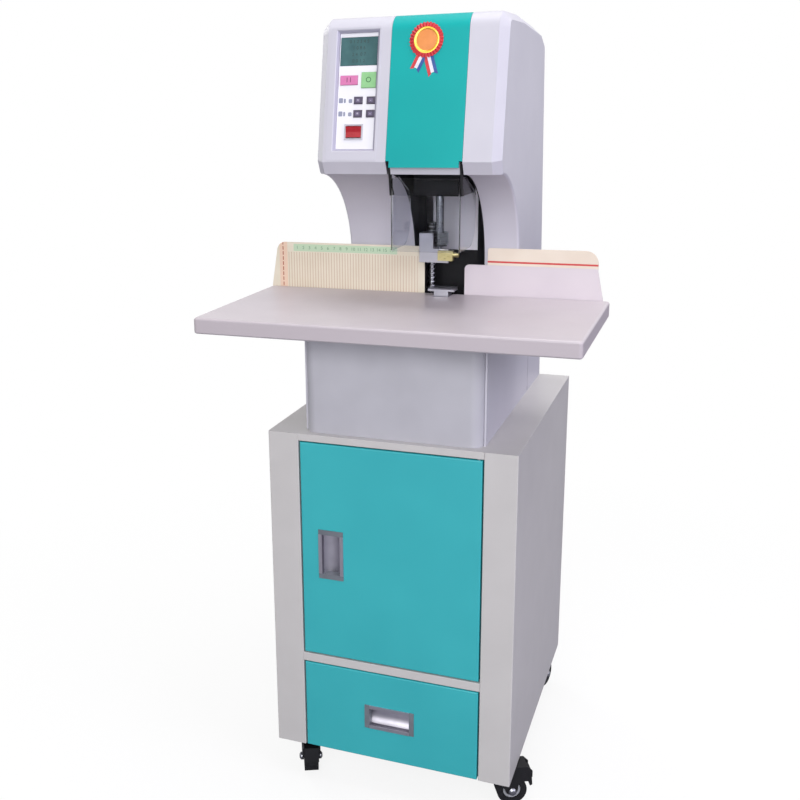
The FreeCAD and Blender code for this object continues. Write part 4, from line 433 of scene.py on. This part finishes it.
def gauge_print():
    """Cream enamel of the gauge plate with its red line."""
    material, tree, shader, where = start_finish("gauge_enamel_cream", "#E6DACB", 0.35)
    level = add_node(tree, "ShaderNodeSeparateXYZ", {"Vector": where}).outputs["Z"]
    cloud = spread(tree, speckle(tree, where, 50.0), 0.0, 1.0)
    enamel = blend_colours(tree, cloud, "#E7DBCC", "#E0D2C2")
    lined = blend_colours(tree, band(tree, level, *GAUGE_LINE), enamel, "#C8403F")
    tree.links.new(lined, shader.inputs["Base Color"])
    tree.links.new(spread(tree, speckle(tree, where, 1.5), 0.3, 0.4), shader.inputs["Roughness"])
    return material


def plain_moulding(name, shade, dark, roughness=0.35):
    """A small coloured moulding, such as a key cap."""
    return coat(name, shade, dark, 0.6, 0.01, roughness, drift=12.0, edge=0.3, ior=1.53)


RIM_DEPTH, FILM_DEPTH = -0.5, -6.6


def bezel_moulding():
    """The control panel by depth: lavender grey rim, recess walls painted darker as painted shade, and a
    white film on the floor.
    """
    material, tree, shader, where = start_finish("panel_abs_film_painted_wall_shade", "#CFCED6", 0.4, ior=1.53)
    outward = face_board.col[2].xyz
    along = add_node(tree, "ShaderNodeVectorMath", {0: where, 1: outward}, operation="DOT_PRODUCT")
    depth = calculate(tree, "SUBTRACT", along.outputs["Value"], face_board.translation.dot(outward))
    rim = calculate(tree, "GREATER_THAN", depth, RIM_DEPTH * MM)
    film = calculate(tree, "LESS_THAN", depth, FILM_DEPTH * MM)
    fine = speckle(tree, where, 0.9, 3.0)
    # painted shade: below the rim the recess walls are painted darker than the rim
    moulded = blend_colours(tree, rim, "#A6A3B6", "#C6C4CF")
    tree.links.new(blend_colours(tree, film, moulded, "#EEEDF4"), shader.inputs["Base Color"])
    tree.links.new(spread(tree, fine, 0.34, 0.46), shader.inputs["Roughness"])
    relief(tree, shader, fine, 0.012, 0.3)
    return material


def ink(name, shade):
    """Screen-printed ink, matt and very slightly uneven."""
    material, tree, shader, where = start_finish(name, shade, 0.5)
    uneven = spread(tree, speckle(tree, where, 1.5), 0.42, 0.6)
    tree.links.new(uneven, shader.inputs["Roughness"])
    return material


# %% [markdown]
# ## Dressing the measured model
# Each node of the measured model keeps its shape and gets the finish of the real piece. The list goes
# finish by finish, as a paint shop would sort the parts.

# %% Give every node its finish
FINISHES = {
    grey_powder_coat(): ["cabinet_side_left", "cabinet_side_right", "cabinet_floor_pan",
                         "cabinet_back_panel", "cabinet_top_deck", "cabinet_mid_shelf"],
    teal_powder_coat(): ["door_panel", "drawer_front"],
    base_powder_coat(): ["base_front_cover", "rear_cover"],
    grey_moulding(): ["side_shell_left", "side_shell_right", "head_bottom_plate"],
    teal_moulding(): ["head_front_panel"],
    table_laminate(): ["work_table"],
    white_plate(): ["right_paper_guide"],
    ruled_guide(): ["left_paper_guide"],
    gauge_print(): ["gauge_plate"],
    handle_aluminium(): ["door_handle_cup"],
    handle_aluminium_lying(): ["drawer_handle_cup"],
    zinc_plate(): ["caster_plates", "door_pivots", "drawer_runners", "drawer_tray"],
    polished_steel(): ["drill_spindle", "hollow_drill"],
    milled_steel(): ["anvil_plate", "press_foot"],
    turned_brass(): ["rivet_head"],
    spring_wire(): ["press_spring", "guide_post"],
    cast_iron_paint(): ["drill_motor", "drill_carriage"],
    frame_enamel_painted_light_and_shade(): ["press_frame"],
    clear_polycarbonate(): ["safety_guard"],
    display_film(): ["display_window"],
    tyre_rubber(): ["caster_wheel_" + corner for corner in ("fl", "fr", "rl", "rr")],
    bezel_moulding(): ["control_bezel"],
    plain_moulding("key_cap_pink", "#D97BB0", "#CF6FA6"): ["rivet_key"],
    plain_moulding("key_cap_green", "#93CB8F", "#86C083"): ["drill_key"],
    plain_moulding("key_cap_plum", "#4B4159", "#3F364C"): [f"set_key_{index}" for index in range(1, 5)],
    plain_moulding("rocker_frame_grey", "#C4C3CC", "#BAB9C3", 0.3): ["rocker_frame"],
    plain_moulding("rocker_paddle_red", "#B82732", "#AB1F2B", 0.24): ["rocker_switch"],
}
BLACK = black_nylon()
SATIN_GREY = black_nylon("nylon_satin_grey", "#777C84", 0.8, "#686D75")
FINISHES[SATIN_GREY] = ["door_handle_caps", "drawer_handle_caps"]
FINISHES[BLACK] = ["caster_brake_fl", "caster_brake_fr",
                   "mains_inlet", "guard_arms", "caster_fork_fl", "caster_fork_fr", "caster_fork_rl",
                   "caster_fork_rr"]
FINISHES[black_nylon("throat_lining_black", "#232328", 1.5, ior=1.2)] = ["throat_lining"]

finished = 0
for finish, names in FINISHES.items():
    for name in names:
        shown = frame["nodes"][name].data
        shown.materials.clear()
        shown.materials.append(finish)
        finished += 1
print("nodes with a finish:", finished, "of", len(frame["nodes"]))

# %% [markdown]
# ## The spring's coils
# The foot presses its spring together as it comes down. Here the coils are copied into a piece of their
# own that rides on the cabinet, and the measured spring is hidden.

# %% Copy the coils into a piece of their own
coils = bpy.data.objects.new("press_spring_coils", frame["nodes"]["press_spring"].data.copy())
bpy.context.scene.collection.objects.link(coils)
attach(coils, "cabinet")
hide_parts("press_spring")
low, high = (Vector(corner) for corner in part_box("press_spring"))
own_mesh(coils)
print("spring from", round(low.z / MM, 1), "to", round(high.z / MM, 1), "mm")

# %% [markdown]
# ## Making small pieces
# Every small piece starts as a bmesh, Blender's editable mesh in memory. One function closes its
# doubles, turns its faces outwards, makes an object of it and lets it ride on the body that carries it.


# %% Helper that finishes a small piece
def finish_piece(mesh, name, body, material, moved=None, sharp=35.0):
    """Turn an editable mesh into a piece that rides on a body."""
    bmesh.ops.remove_doubles(mesh, verts=mesh.verts, dist=0.005 * MM)
    if moved is not None:
        bmesh.ops.transform(mesh, matrix=moved, verts=mesh.verts)
    bmesh.ops.recalc_face_normals(mesh, faces=mesh.faces)
    data = bpy.data.meshes.new(name)
    mesh.to_mesh(data)
    mesh.free()
    data.shade_smooth()
    data.set_sharp_from_angle(angle=math.radians(sharp))
    data.materials.append(material)
    piece = bpy.data.objects.new(name, data)
    bpy.context.scene.collection.objects.link(piece)
    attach(piece, body)


def turn_profile(mesh, points, steps=32):
    """Spin a profile of (radius, height) points in millimetres about Z, as a lathe does."""
    corners = [mesh.verts.new((radius * MM, 0, height * MM)) for radius, height in points]
    lines = [mesh.edges.new(pair) for pair in zip(corners, corners[1:])]
    bmesh.ops.spin(mesh, geom=corners + lines, cent=(0, 0, 0), axis=(0, 0, 1), angle=2 * math.pi,
                   steps=steps, use_merge=True)
    bmesh.ops.remove_doubles(mesh, verts=mesh.verts, dist=0.005 * MM)


def copy_into(mesh, template, matrix):
    """Add a moved copy of a template mesh."""
    data = bpy.data.meshes.new("copy")
    template.to_mesh(data)
    data.transform(matrix)
    mesh.from_mesh(data)
    bpy.data.meshes.remove(data)


def facing(spot, outward):
    """A matrix that stands a piece on a spot with its own Z pointing outward."""
    return Matrix.Translation(spot) @ Vector(outward).to_track_quat("Z", "Y").to_matrix().to_4x4()


# %% [markdown]
# ## Screws
# The covers are held by pan-head screws with a cross recess. The head is a grid of quads: its rim is
# drawn onto a circle, the plus-shaped cells in the middle are pushed down for the driver, and the rim
# is pulled down to the seat and bevelled.


# %% Build the screws
def pan_screw(radius, height):
    """A pan head with a cross recess, seated at Z 0."""
    mesh = bmesh.new()
    cells = 5
    half_grid, shoulder = radius * 0.62 * MM, radius * 0.8 * MM
    recess_depth, shoulder_drop = height * 0.6 * MM, height * 0.35 * MM
    bmesh.ops.create_grid(mesh, x_segments=cells, y_segments=cells, size=half_grid)
    step = 2 * half_grid / cells

    def cell(face):
        middle = face.calc_center_median()
        return round(middle.x / step), round(middle.y / step)
    plus = [f for f in mesh.faces if cell(f) in ((0, 0), (1, 0), (-1, 0), (0, 1), (0, -1))]
    for vert in mesh.verts:
        if vert.is_boundary:
            vert.co = vert.co.normalized() * shoulder
    pushed = bmesh.ops.extrude_face_region(mesh, geom=plus)
    low = [v for v in pushed["geom"] if isinstance(v, bmesh.types.BMVert)]
    bmesh.ops.delete(mesh, geom=plus, context="FACES_ONLY")
    bmesh.ops.translate(mesh, verts=low, vec=(0, 0, -recess_depth))
    rim = [e for e in mesh.edges if e.is_boundary]
    dropped = bmesh.ops.extrude_edge_only(mesh, edges=rim)
    ring = [v for v in dropped["geom"] if isinstance(v, bmesh.types.BMVert)]
    for vert in ring:
        vert.co = vert.co.normalized() * radius * MM
        vert.co.z = -shoulder_drop
    rim = [e for e in dropped["geom"] if isinstance(e, bmesh.types.BMEdge)]
    dropped = bmesh.ops.extrude_edge_only(mesh, edges=rim)
    for vert in dropped["geom"]:
        if isinstance(vert, bmesh.types.BMVert):
            vert.co.z = -height * MM
    bmesh.ops.translate(mesh, verts=mesh.verts, vec=(0, 0, height * MM))
    return mesh


def screw_group(name, body, spots, outward, radius=3.2, height=1.8):
    """Several screws of one kind as one piece."""
    template = pan_screw(radius, height)
    mesh = bmesh.new()
    for spot in spots:
        copy_into(mesh, template, facing(spot, outward))
    template.free()
    finish_piece(mesh, name, body, SCREW_STEEL)
    print(name, "screws:", len(spots))


SCREW_STEEL = worked_metal("screw_zinc_plate", "#A9ABB0", "#94979D", 0.3, 0.4, (1, 1, 1))

BACK_LEAN = math.radians(5.28)
BACK_FOOT, BACK_HEIGHT = 628, 587
BACK_FOOT_DEPTH, BACK_LEANS_IN = 478.3, 54.3
back_outward = Vector((0, math.cos(BACK_LEAN), math.sin(BACK_LEAN)))


def on_back(across, level):
    """A point on the leaning rear cover."""
    depth = BACK_FOOT_DEPTH - BACK_LEANS_IN * (level - BACK_FOOT) / BACK_HEIGHT
    return place(across, depth, level)


screw_group("rear_cover_screws", "cabinet",
            [on_back(side * 134, level) for side in (-1, 1) for level in (650, 820, 990, 1160)],
            back_outward)
screw_group("cabinet_back_screws", "cabinet",
            [place(side * across, 480, level)
             for side in (-1, 1) for across in (60, 190) for level in (80, 620)],
            (0, 1, 0))
screw_group("inlet_screws", "cabinet",
            [on_back(-70 + side * 20, 700) + back_outward * 3 * MM for side in (-1, 1)],
            back_outward, radius=2.6, height=1.2)

# %% [markdown]
# ## Award rosette on the head
# A pleated paper rosette with two ribbon tails is stuck to the top of the teal strip. The pleats are a
# zigzag ring, the middle is a gold disc with a raised rim, and its centre is left plain. It lies flat on
# the leaning face, so it is drawn on the face board.

# %% Build the rosette
ROSETTE_AT = Vector((24.5, 178.2, 0)) * MM
RIBBON_START, RIBBON_LIFT, RIBBON_WAVES = -21, 0.35, 5.0
rosette_board = face_board @ Matrix.Translation(ROSETTE_AT)


def pleated_ring(inner, outer, pleats, low, high):
    """A ring of folded paper: two rows of points, each second one raised."""
    mesh = bmesh.new()
    made = bmesh.ops.create_circle(mesh, segments=pleats * 2, radius=inner * MM)
    ring = list(mesh.edges)
    for vert in made["verts"]:
        vert.co.z = high * MM
    grown = bmesh.ops.extrude_edge_only(mesh, edges=ring)
    tips = [v for v in grown["geom"] if isinstance(v, bmesh.types.BMVert)]
    for vert in tips:
        turn = math.atan2(vert.co.y, vert.co.x) * pleats / math.pi
        raised = round(turn) % 2
        vert.co = vert.co.normalized() * (outer if raised else outer - 1.2) * MM
        vert.co.z = (high if raised else low) * MM
    bmesh.ops.solidify(mesh, geom=mesh.faces[:], thickness=0.15 * MM)
    return mesh


def ribbon_tail(angle, length, width, shift):
    """Three bands of one ribbon tail with a notched end."""
    tails = []
    ends = ((length, length - 3.0), (length - 4.5, length - 4.5), (length - 3.0, length))
    for index, (left_end, right_end) in enumerate(ends):
        mesh = bmesh.new()
        left = (index - 1.5) * width / 3
        right = left + width / 3
        corners = [(left, 0), (right, 0), (right, -right_end), (left, -left_end)]
        mesh.faces.new([mesh.verts.new((x * MM, y * MM, RIBBON_LIFT * MM)) for x, y in corners])
        bmesh.ops.subdivide_edges(mesh, edges=mesh.edges[:], cuts=6, use_grid_fill=True)
        for vert in mesh.verts:
            vert.co.z += RIBBON_LIFT * MM * math.sin(-vert.co.y / (length * MM) * RIBBON_WAVES)
        bmesh.ops.solidify(mesh, geom=mesh.faces[:], thickness=0.12 * MM)
        start = Vector((shift, RIBBON_START, 0)) * MM
        turned = Matrix.Translation(start) @ Matrix.Rotation(angle, 4, "Z")
        bmesh.ops.transform(mesh, matrix=turned, verts=mesh.verts)
        tails.append(mesh)
    return tails


RED_PAPER = coat("rosette_paper_red", "#D2343C", "#C22C36", 0.8, 0.03, 0.5, drift=10.0, edge=0.1)
GOLD_FOIL = worked_metal("rosette_foil_gold", "#F0C25E", "#E2AC44", 0.35, 0.6, (1, 1, 1), edge=0.2)
ORANGE_CARD = coat("rosette_card_orange", "#E8924A", "#DD8540", 0.8, 0.02, 0.45, drift=14.0, edge=0.2)
WHITE_RIBBON = coat("ribbon_satin_white", "#E9E6EE", "#DEDAE6", 0.5, 0.02, 0.4, drift=10.0, edge=0.1)
BLUE_RIBBON = coat("ribbon_satin_blue", "#1D4F9C", "#184488", 0.5, 0.02, 0.4, drift=10.0, edge=0.1)

finish_piece(pleated_ring(inner=19.5, outer=26.5, pleats=30, low=0.2, high=2.6), "rosette_pleats",
             "cabinet", RED_PAPER, rosette_board, sharp=10)
disc = bmesh.new()
turn_profile(disc, [(0, 1.2), (15.4, 1.2), (16.2, 1.9), (18.2, 2.2), (20.2, 1.7), (20.6, 0.9),
                    (20.6, 0.2)], 64)
finish_piece(disc, "rosette_rim", "cabinet", GOLD_FOIL, rosette_board)
card = bmesh.new()
turn_profile(card, [(0, 1.7), (12.0, 1.6), (15.3, 1.35), (15.3, 1.1)], 48)
finish_piece(card, "rosette_card", "cabinet", ORANGE_CARD, rosette_board)
RIBBON_WIDTH = 15.0
BANDS = ((RED_PAPER, "red"), (WHITE_RIBBON, "white"), (BLUE_RIBBON, "blue"))
TAILS = ((math.radians(-26), 26, -5.5), (math.radians(17), 32, 3.5))
for tail, (angle, length, shift) in enumerate(TAILS, 1):
    for mesh, (paper, tint) in zip(ribbon_tail(angle, length, RIBBON_WIDTH, shift), BANDS):
        finish_piece(mesh, f"ribbon_{tail}_{tint}", "cabinet", paper, rosette_board)
print("rosette at", [round(v, 4) for v in rosette_board.translation])

# %% [markdown]
# ## Marks on the controls
# The panel is drawn flat on the face board. Its floor lies 7 mm behind the face. The keys get plain
# signs, and the display shows plain digits. Signs and digits are text curves, made into a mesh before
# they are placed.

# %% Signs, digits and panel prints
PANEL_FLOOR = -7.0
KEY_TOP = PANEL_FLOOR + 1.6
INK_HALF, INK_LIFT = 0.03, 0.04
PATCH_THICK, PATCH_LIFT = 0.06, 0.05


def flat_text(words, size, name, body, material, across, up, out, board=face_board):
    """Plain digits or signs as thin ink on a surface of the board."""
    curve = bpy.data.curves.new(name, "FONT")
    curve.body = words
    curve.size = size * MM
    curve.extrude = INK_HALF * MM
    curve.resolution_u = 3
    curve.align_x = "CENTER"
    curve.align_y = "CENTER"
    carrier = bpy.data.objects.new(name, curve)
    flat = bpy.data.meshes.new_from_object(carrier)
    bpy.data.objects.remove(carrier)
    mesh = bmesh.new()
    mesh.from_mesh(flat)
    bpy.data.meshes.remove(flat)
    spot = Vector((across, up, out + INK_LIFT)) * MM
    finish_piece(mesh, name, body, material, board @ Matrix.Translation(spot))


def printed_patch(name, body, material, left, low, width, height, out, corner=0.6):
    """A thin rectangle of ink with round corners."""
    mesh = bmesh.new()
    bmesh.ops.create_grid(mesh, x_segments=1, y_segments=1, size=0.5)
    bmesh.ops.scale(mesh, vec=(width * MM, height * MM, 1), verts=mesh.verts)
    bmesh.ops.bevel(mesh, geom=mesh.verts[:], offset=corner * MM, segments=3, affect="VERTICES",
                    profile=0.5, material=-1)
    bmesh.ops.solidify(mesh, geom=mesh.faces[:], thickness=PATCH_THICK * MM)
    middle = Vector((left + width / 2, low + height / 2, out + PATCH_LIFT)) * MM
    finish_piece(mesh, name, body, material, face_board @ Matrix.Translation(middle))


DISPLAY_INK = ink("display_segments", "#22383B")
GREY_INK = ink("label_ink_grey", "#8F93A8")
DARK_INK = ink("label_ink_dark", "#5C2346")
GREEN_INK = ink("label_ink_green", "#2E6B3C")
WHITE_INK = ink("label_ink_white", "#D8D5DE")
PLUM_INK = ink("label_ink_plum", "#6C6280")
RULER_INK = ink("ruler_ink_green", "#6E9C72")

DISPLAY_MIDDLE, DISPLAY_TOP_ROW, DISPLAY_ROW_STEP = -83, 181.5, 9.6
DISPLAY_FACE = PANEL_FLOOR + 0.3
SET_KEYS_LEFT, SET_KEYS_LOW = -87.3, 68.2
KEYS_ACROSS, KEYS_UP = 20.4, 20
LABEL_WIDTHS, LABEL_STEP, LABEL_GAP = (7.5, 4.0, 6.5), 8, 0.8
LABELS_LEFT, LABELS_LOW = -112, 90

for row, words in enumerate(("0 1 2 3 4 5", "1 0 8 6", "2 4  0 7", "0 0 1 2")):
    flat_text(words, 7.2, f"display_row_{row + 1}", "cabinet", DISPLAY_INK,
              DISPLAY_MIDDLE, DISPLAY_TOP_ROW - row * DISPLAY_ROW_STEP, DISPLAY_FACE)
flat_text("I I", 10.5, "rivet_key_sign", "rivet_key_body", DARK_INK, -97, 124, KEY_TOP)
flat_text("O", 11.5, "drill_key_sign", "drill_key_body", GREEN_INK, -65.2, 123.7, KEY_TOP)
for index in range(4):
    key = f"set_key_{index + 1}"
    left = SET_KEYS_LEFT + KEYS_ACROSS * (index % 2)
    low = SET_KEYS_LOW + KEYS_UP * (1 - index // 2)
    printed_patch(key + "_patch", key + "_body", PLUM_INK, left + 3.6, low + 2.8,
                  width=6.4, height=5.2, out=KEY_TOP)
    flat_text("+-"[index % 2], 6.5, key + "_sign", key + "_body", WHITE_INK,
              left + 6.8, low + 5.4, KEY_TOP + 0.08)
for row in range(2):
    for part, width in enumerate(LABEL_WIDTHS):
        printed_patch(f"label_{row + 1}_{part + 1}", "cabinet", GREY_INK,
                      LABELS_LEFT + part * LABEL_STEP, LABELS_LOW - row * KEYS_UP, width - LABEL_GAP,
                      7.5 - part * 0.8, PANEL_FLOOR, corner=1.4)
print("marks on the panel ready")

# %% [markdown]
# ## Numbers along the left guide
# The green strip on the left guide carries a row of plain numbers at even steps. The plate
# stands behind the table, so its board is an upright one that faces the operator.

# %% Numbers on the green strip
GUIDE_FACE = 240.3
FIRST_NUMBER, NUMBER_STEP, NUMBER_LEVEL = -243, 11.5, 886.7
guide_board = Matrix.Translation(place(0, GUIDE_FACE, 0)) @ Matrix.Rotation(math.pi / 2, 4, "X")
for index in range(16):
    flat_text(str(index + 1), 8.0, f"ruler_number_{index + 1}", "cabinet", RULER_INK,
              FIRST_NUMBER + index * NUMBER_STEP, NUMBER_LEVEL, 0, board=guide_board)
print("numbers on the left guide ready")

# %% [markdown]
# ## Caster hubs
# Each wheel has a pale hub ring and each axle a bright nut. The rings are turned like the real
# mouldings, and their place comes from the wheel's own joint: its point and its axis.

# %% Hub rings and axle caps
HUB_GREY = plain_moulding("hub_ring_grey", "#A9ABB0", "#9B9DA3", 0.4)
NUT_STEEL = worked_metal("axle_cap_chrome", "#9D9EA5", "#8F9097", 0.24, 0.5, (1, 1, 1))
wheel_joints = {joint["child"]: joint for joint in frame["joints"]
                if joint["child"].startswith("wheel_")}
for body, joint in wheel_joints.items():
    rings = bmesh.new()
    caps = bmesh.new()
    for side in (-1, 1):
        outward = Vector(joint["axis"]) * side
        centre = Vector(joint["pos_m"])
        ring = bmesh.new()
        turn_profile(ring, [(10.5, 9.7), (11.2, 10.6), (14.2, 10.6), (14.9, 9.7)], 40)
        copy_into(rings, ring, facing(centre, outward))
        ring.free()
        cap = bmesh.new()
        turn_profile(cap, [(0, 20.2), (3.0, 20.0), (4.6, 19.2), (5.4, 18.2), (6.6, 17.6),
                           (6.6, 15.4)], 24)
        copy_into(caps, cap, facing(centre, outward))
        cap.free()
    finish_piece(rings, "hub_rings_" + body[-2:], body, HUB_GREY)
    finish_piece(caps, "axle_caps_" + body[-2:], "fork_" + body[-2:], NUT_STEEL)
print("wheels with hub rings:", len(wheel_joints))

# %% [markdown]
# ## Clamp details
# Round the spindle the clamp has a clear moulded shroud and a stack of dark bush rings, and the post
# ends in a black knurled knob.

# %% Bush rings and shroud on the clamp
def open_shroud(radius, height, wall, opening):
    """A clear C-shaped band with an opening of so many degrees."""
    mesh = bmesh.new()
    start = Vector((0, -radius * MM, 0))
    line = [mesh.verts.new(start), mesh.verts.new(start + Vector((0, 0, height * MM)))]
    edge = mesh.edges.new(line)
    bmesh.ops.spin(mesh, geom=line + [edge], cent=(0, 0, 0), axis=(0, 0, 1),
                   angle=math.radians(360 - opening), steps=40)
    bmesh.ops.solidify(mesh, geom=mesh.faces[:], thickness=wall * MM)
    return mesh


CLAMP_ACROSS, CLAMP_DEPTH = 17, 228
bush = bmesh.new()
turn_profile(bush, [(7.4, 0), (12.4, 0), (12.4, 5), (11.0, 6), (11.0, 7.5), (12.4, 8.5), (12.4, 13),
                    (11.0, 14), (11.0, 15.5), (12.4, 16.5), (12.4, 21.5), (7.4, 21.5), (7.4, 0)], 40)
finish_piece(bush, "clamp_bush_rings", "foot", BLACK,
             Matrix.Translation(place(CLAMP_ACROSS, CLAMP_DEPTH, 899.5)))
finish_piece(open_shroud(radius=13.2, height=20, wall=1.2, opening=120), "clamp_shroud", "foot",
             smoked_polycarbonate(),
             Matrix.Translation(place(CLAMP_ACROSS, CLAMP_DEPTH, 902)))
knob = bmesh.new()
turn_profile(knob, [(0, 13.4), (6.4, 13.4), (8.3, 12.0), (8.3, 8.0), (7.4, 7.4), (7.4, 6.2), (8.3, 5.6),
                    (8.3, 1.2), (7.6, 0.4)], 32)
finish_piece(knob, "post_knob_cover", "cabinet", BLACK,
             Matrix.Translation(place(-3, 254, 921.5)))
print("clamp details ready")

# %% [markdown]
# ## Shell seams
# Each side shell is joined from two mouldings in its lower part. The joint shows as a fine dark line
# with a small notch at its foot.

# %% Seam lines on the shells' flanks
SEAM_INK = ink("seam_shadow_grey", "#6E6C7A")
FLANK, SEAM_DEPTH, SEAM_THICK = 145, 354, 0.2
NOTCH_FOOT, NOTCH_HEIGHT, SEAM_HEIGHT = 630, 6, 156


def thin_block(name, side, low, width, height):
    """A flat dark strip on a flank of the shells."""
    mesh = bmesh.new()
    bmesh.ops.create_cube(mesh, size=MM)
    bmesh.ops.scale(mesh, vec=(SEAM_THICK, width, height), verts=mesh.verts)
    spot = place(side * FLANK, SEAM_DEPTH, low + height / 2)
    finish_piece(mesh, name, "cabinet", SEAM_INK, Matrix.Translation(spot))


for side, word in ((-1, "left"), (1, "right")):
    thin_block(f"shell_seam_{word}", side, NOTCH_FOOT + NOTCH_HEIGHT, 0.9, SEAM_HEIGHT)
    thin_block(f"shell_seam_notch_{word}", side, NOTCH_FOOT, 3.0, NOTCH_HEIGHT)
print("seams on the flanks: 2")

# %% [markdown]
# ## Floor and light
# The picture shows the machine on white with no corner of a room. The floor is a broad plane that
# glows white for the camera. Near the machine it is mixed with a little plain white, which keeps a soft
# shadow, and further out it glows fully and runs into the backdrop. The machine itself sees a greyer
# floor, so its undersides stay dark. Four large soft lamps light it from
# the front, the right, above and the back left.


# %% Build the studio
SHADOW_REACH = (0.5, 1.5)
GLOW_NEAR, GLOW_FAR = 0.86, 1.0
FLOOR_RADIUS = 9.0
SKY_LEVEL = 0.26


def studio_floor():
    """White floor that keeps a faint shadow near the machine and runs into the white backdrop."""
    material, tree, shader, where = start_finish("studio_floor_white", "#FFFFFF", 0.9)
    glow = add_node(tree, "ShaderNodeEmission", {"Color": (1, 1, 1, 1), "Strength": 1.0})
    rays = add_node(tree, "ShaderNodeLightPath")
    seen = rays.outputs["Is Camera Ray"]
    tree.links.new(blend_colours(tree, seen, "#92929A", "#FFFFFF"), shader.inputs["Base Color"])
    away = add_node(tree, "ShaderNodeVectorMath", {0: where}, operation="LENGTH").outputs["Value"]
    glowing = spread(tree, away, GLOW_NEAR, GLOW_FAR, *SHADOW_REACH)
    share = calculate(tree, "MULTIPLY", seen, glowing)
    mix = add_node(tree, "ShaderNodeMixShader", {0: share, 1: shader.outputs[0], 2: glow.outputs[0]})
    tree.links.new(mix.outputs[0], tree.nodes["Material Output"].inputs["Surface"])
    mesh = bmesh.new()
    bmesh.ops.create_circle(mesh, cap_ends=True, segments=64, radius=FLOOR_RADIUS)
    data = bpy.data.meshes.new("studio_floor")
    mesh.to_mesh(data)
    mesh.free()
    data.materials.append(material)
    floor = bpy.data.objects.new("studio_floor", data)
    bpy.context.scene.collection.objects.link(floor)


def soft_lamp(name, spot, aim, size, power, tint="#FFFFFF"):
    """A square soft box that points at a place."""
    data = bpy.data.lights.new(name, "AREA")
    data.shape = "SQUARE"
    data.size = size
    data.energy = power
    data.color = colour(tint)[:3]
    lamp = bpy.data.objects.new(name, data)
    lamp.location = spot
    lamp.rotation_euler = (Vector(aim) - Vector(spot)).to_track_quat("-Z", "Y").to_euler()
    bpy.context.scene.collection.objects.link(lamp)


studio_floor()
soft_lamp("key_lamp", (0.5, -3.4, 1.9), (0, 0, 0.7), 2.2, 82)
soft_lamp("fill_lamp", (3.4, -1.2, 2.2), (0, 0, 0.9), 2.4, 62, "#EBE8FF")
soft_lamp("top_lamp", (0.4, 0.0, 3.4), (0, 0, 0.8), 2.0, 47)
soft_lamp("back_lamp", (-3.2, 2.4, 1.6), (0, 0, 0.7), 1.6, 50)

world = bpy.data.worlds.new("studio_white")
bpy.context.scene.world = world
world.use_nodes = True
sky = world.node_tree
backdrop = sky.nodes["Background"]
backdrop.inputs["Color"].default_value = colour("#FFFFFF")
rays = add_node(sky, "ShaderNodeLightPath")
seen = calculate(sky, "MAXIMUM", rays.outputs["Is Camera Ray"], rays.outputs["Is Glossy Ray"])
seen = calculate(sky, "MAXIMUM", seen, rays.outputs["Is Transmission Ray"])
strength = add_node(sky, "ShaderNodeMapRange", {"Value": seen, "To Min": SKY_LEVEL, "To Max": 1.0})
sky.links.new(strength.outputs["Result"], backdrop.inputs["Strength"])
bpy.context.scene.view_settings.view_transform = "Standard"

# %% [markdown]
# ## Camera
# The camera's place and angles were solved from the picture: it stands to the right of the machine,
# 21.6 degrees round, and looks 14.7 degrees down. The lens shift only moves the machine to where the
# picture has it.

# %% Set up the camera
AZIMUTH, ELEVATION, ROLL = (math.radians(v) for v in (21.639, 14.665, -1.175))
EYE = Vector((469.26, -1656.31, 1134.01)) * MM
LENS, SENSOR = 47.12, 36.0
SHIFT_ACROSS, SHIFT_UP = 0.0966, -0.0312
ahead = Vector((-math.sin(AZIMUTH) * math.cos(ELEVATION), math.cos(AZIMUTH) * math.cos(ELEVATION),
                -math.sin(ELEVATION)))
right = ahead.cross(Vector((0, 0, 1))).normalized()
up = right.cross(ahead)
right, up = right * math.cos(ROLL) + up * math.sin(ROLL), up * math.cos(ROLL) - right * math.sin(ROLL)
lens_data = bpy.data.cameras.new("picture_camera")
lens_data.sensor_width = SENSOR
lens_data.lens = LENS
lens_data.shift_x = SHIFT_ACROSS
lens_data.shift_y = SHIFT_UP
lens_data.clip_end = 40
camera = bpy.data.objects.new("picture_camera", lens_data)
turned = Matrix((right, up, -ahead)).transposed().to_4x4()
camera.matrix_world = Matrix.Translation(EYE) @ turned
bpy.context.scene.collection.objects.link(camera)
bpy.context.scene.camera = camera
print("camera at", [round(v, 3) for v in camera.location])
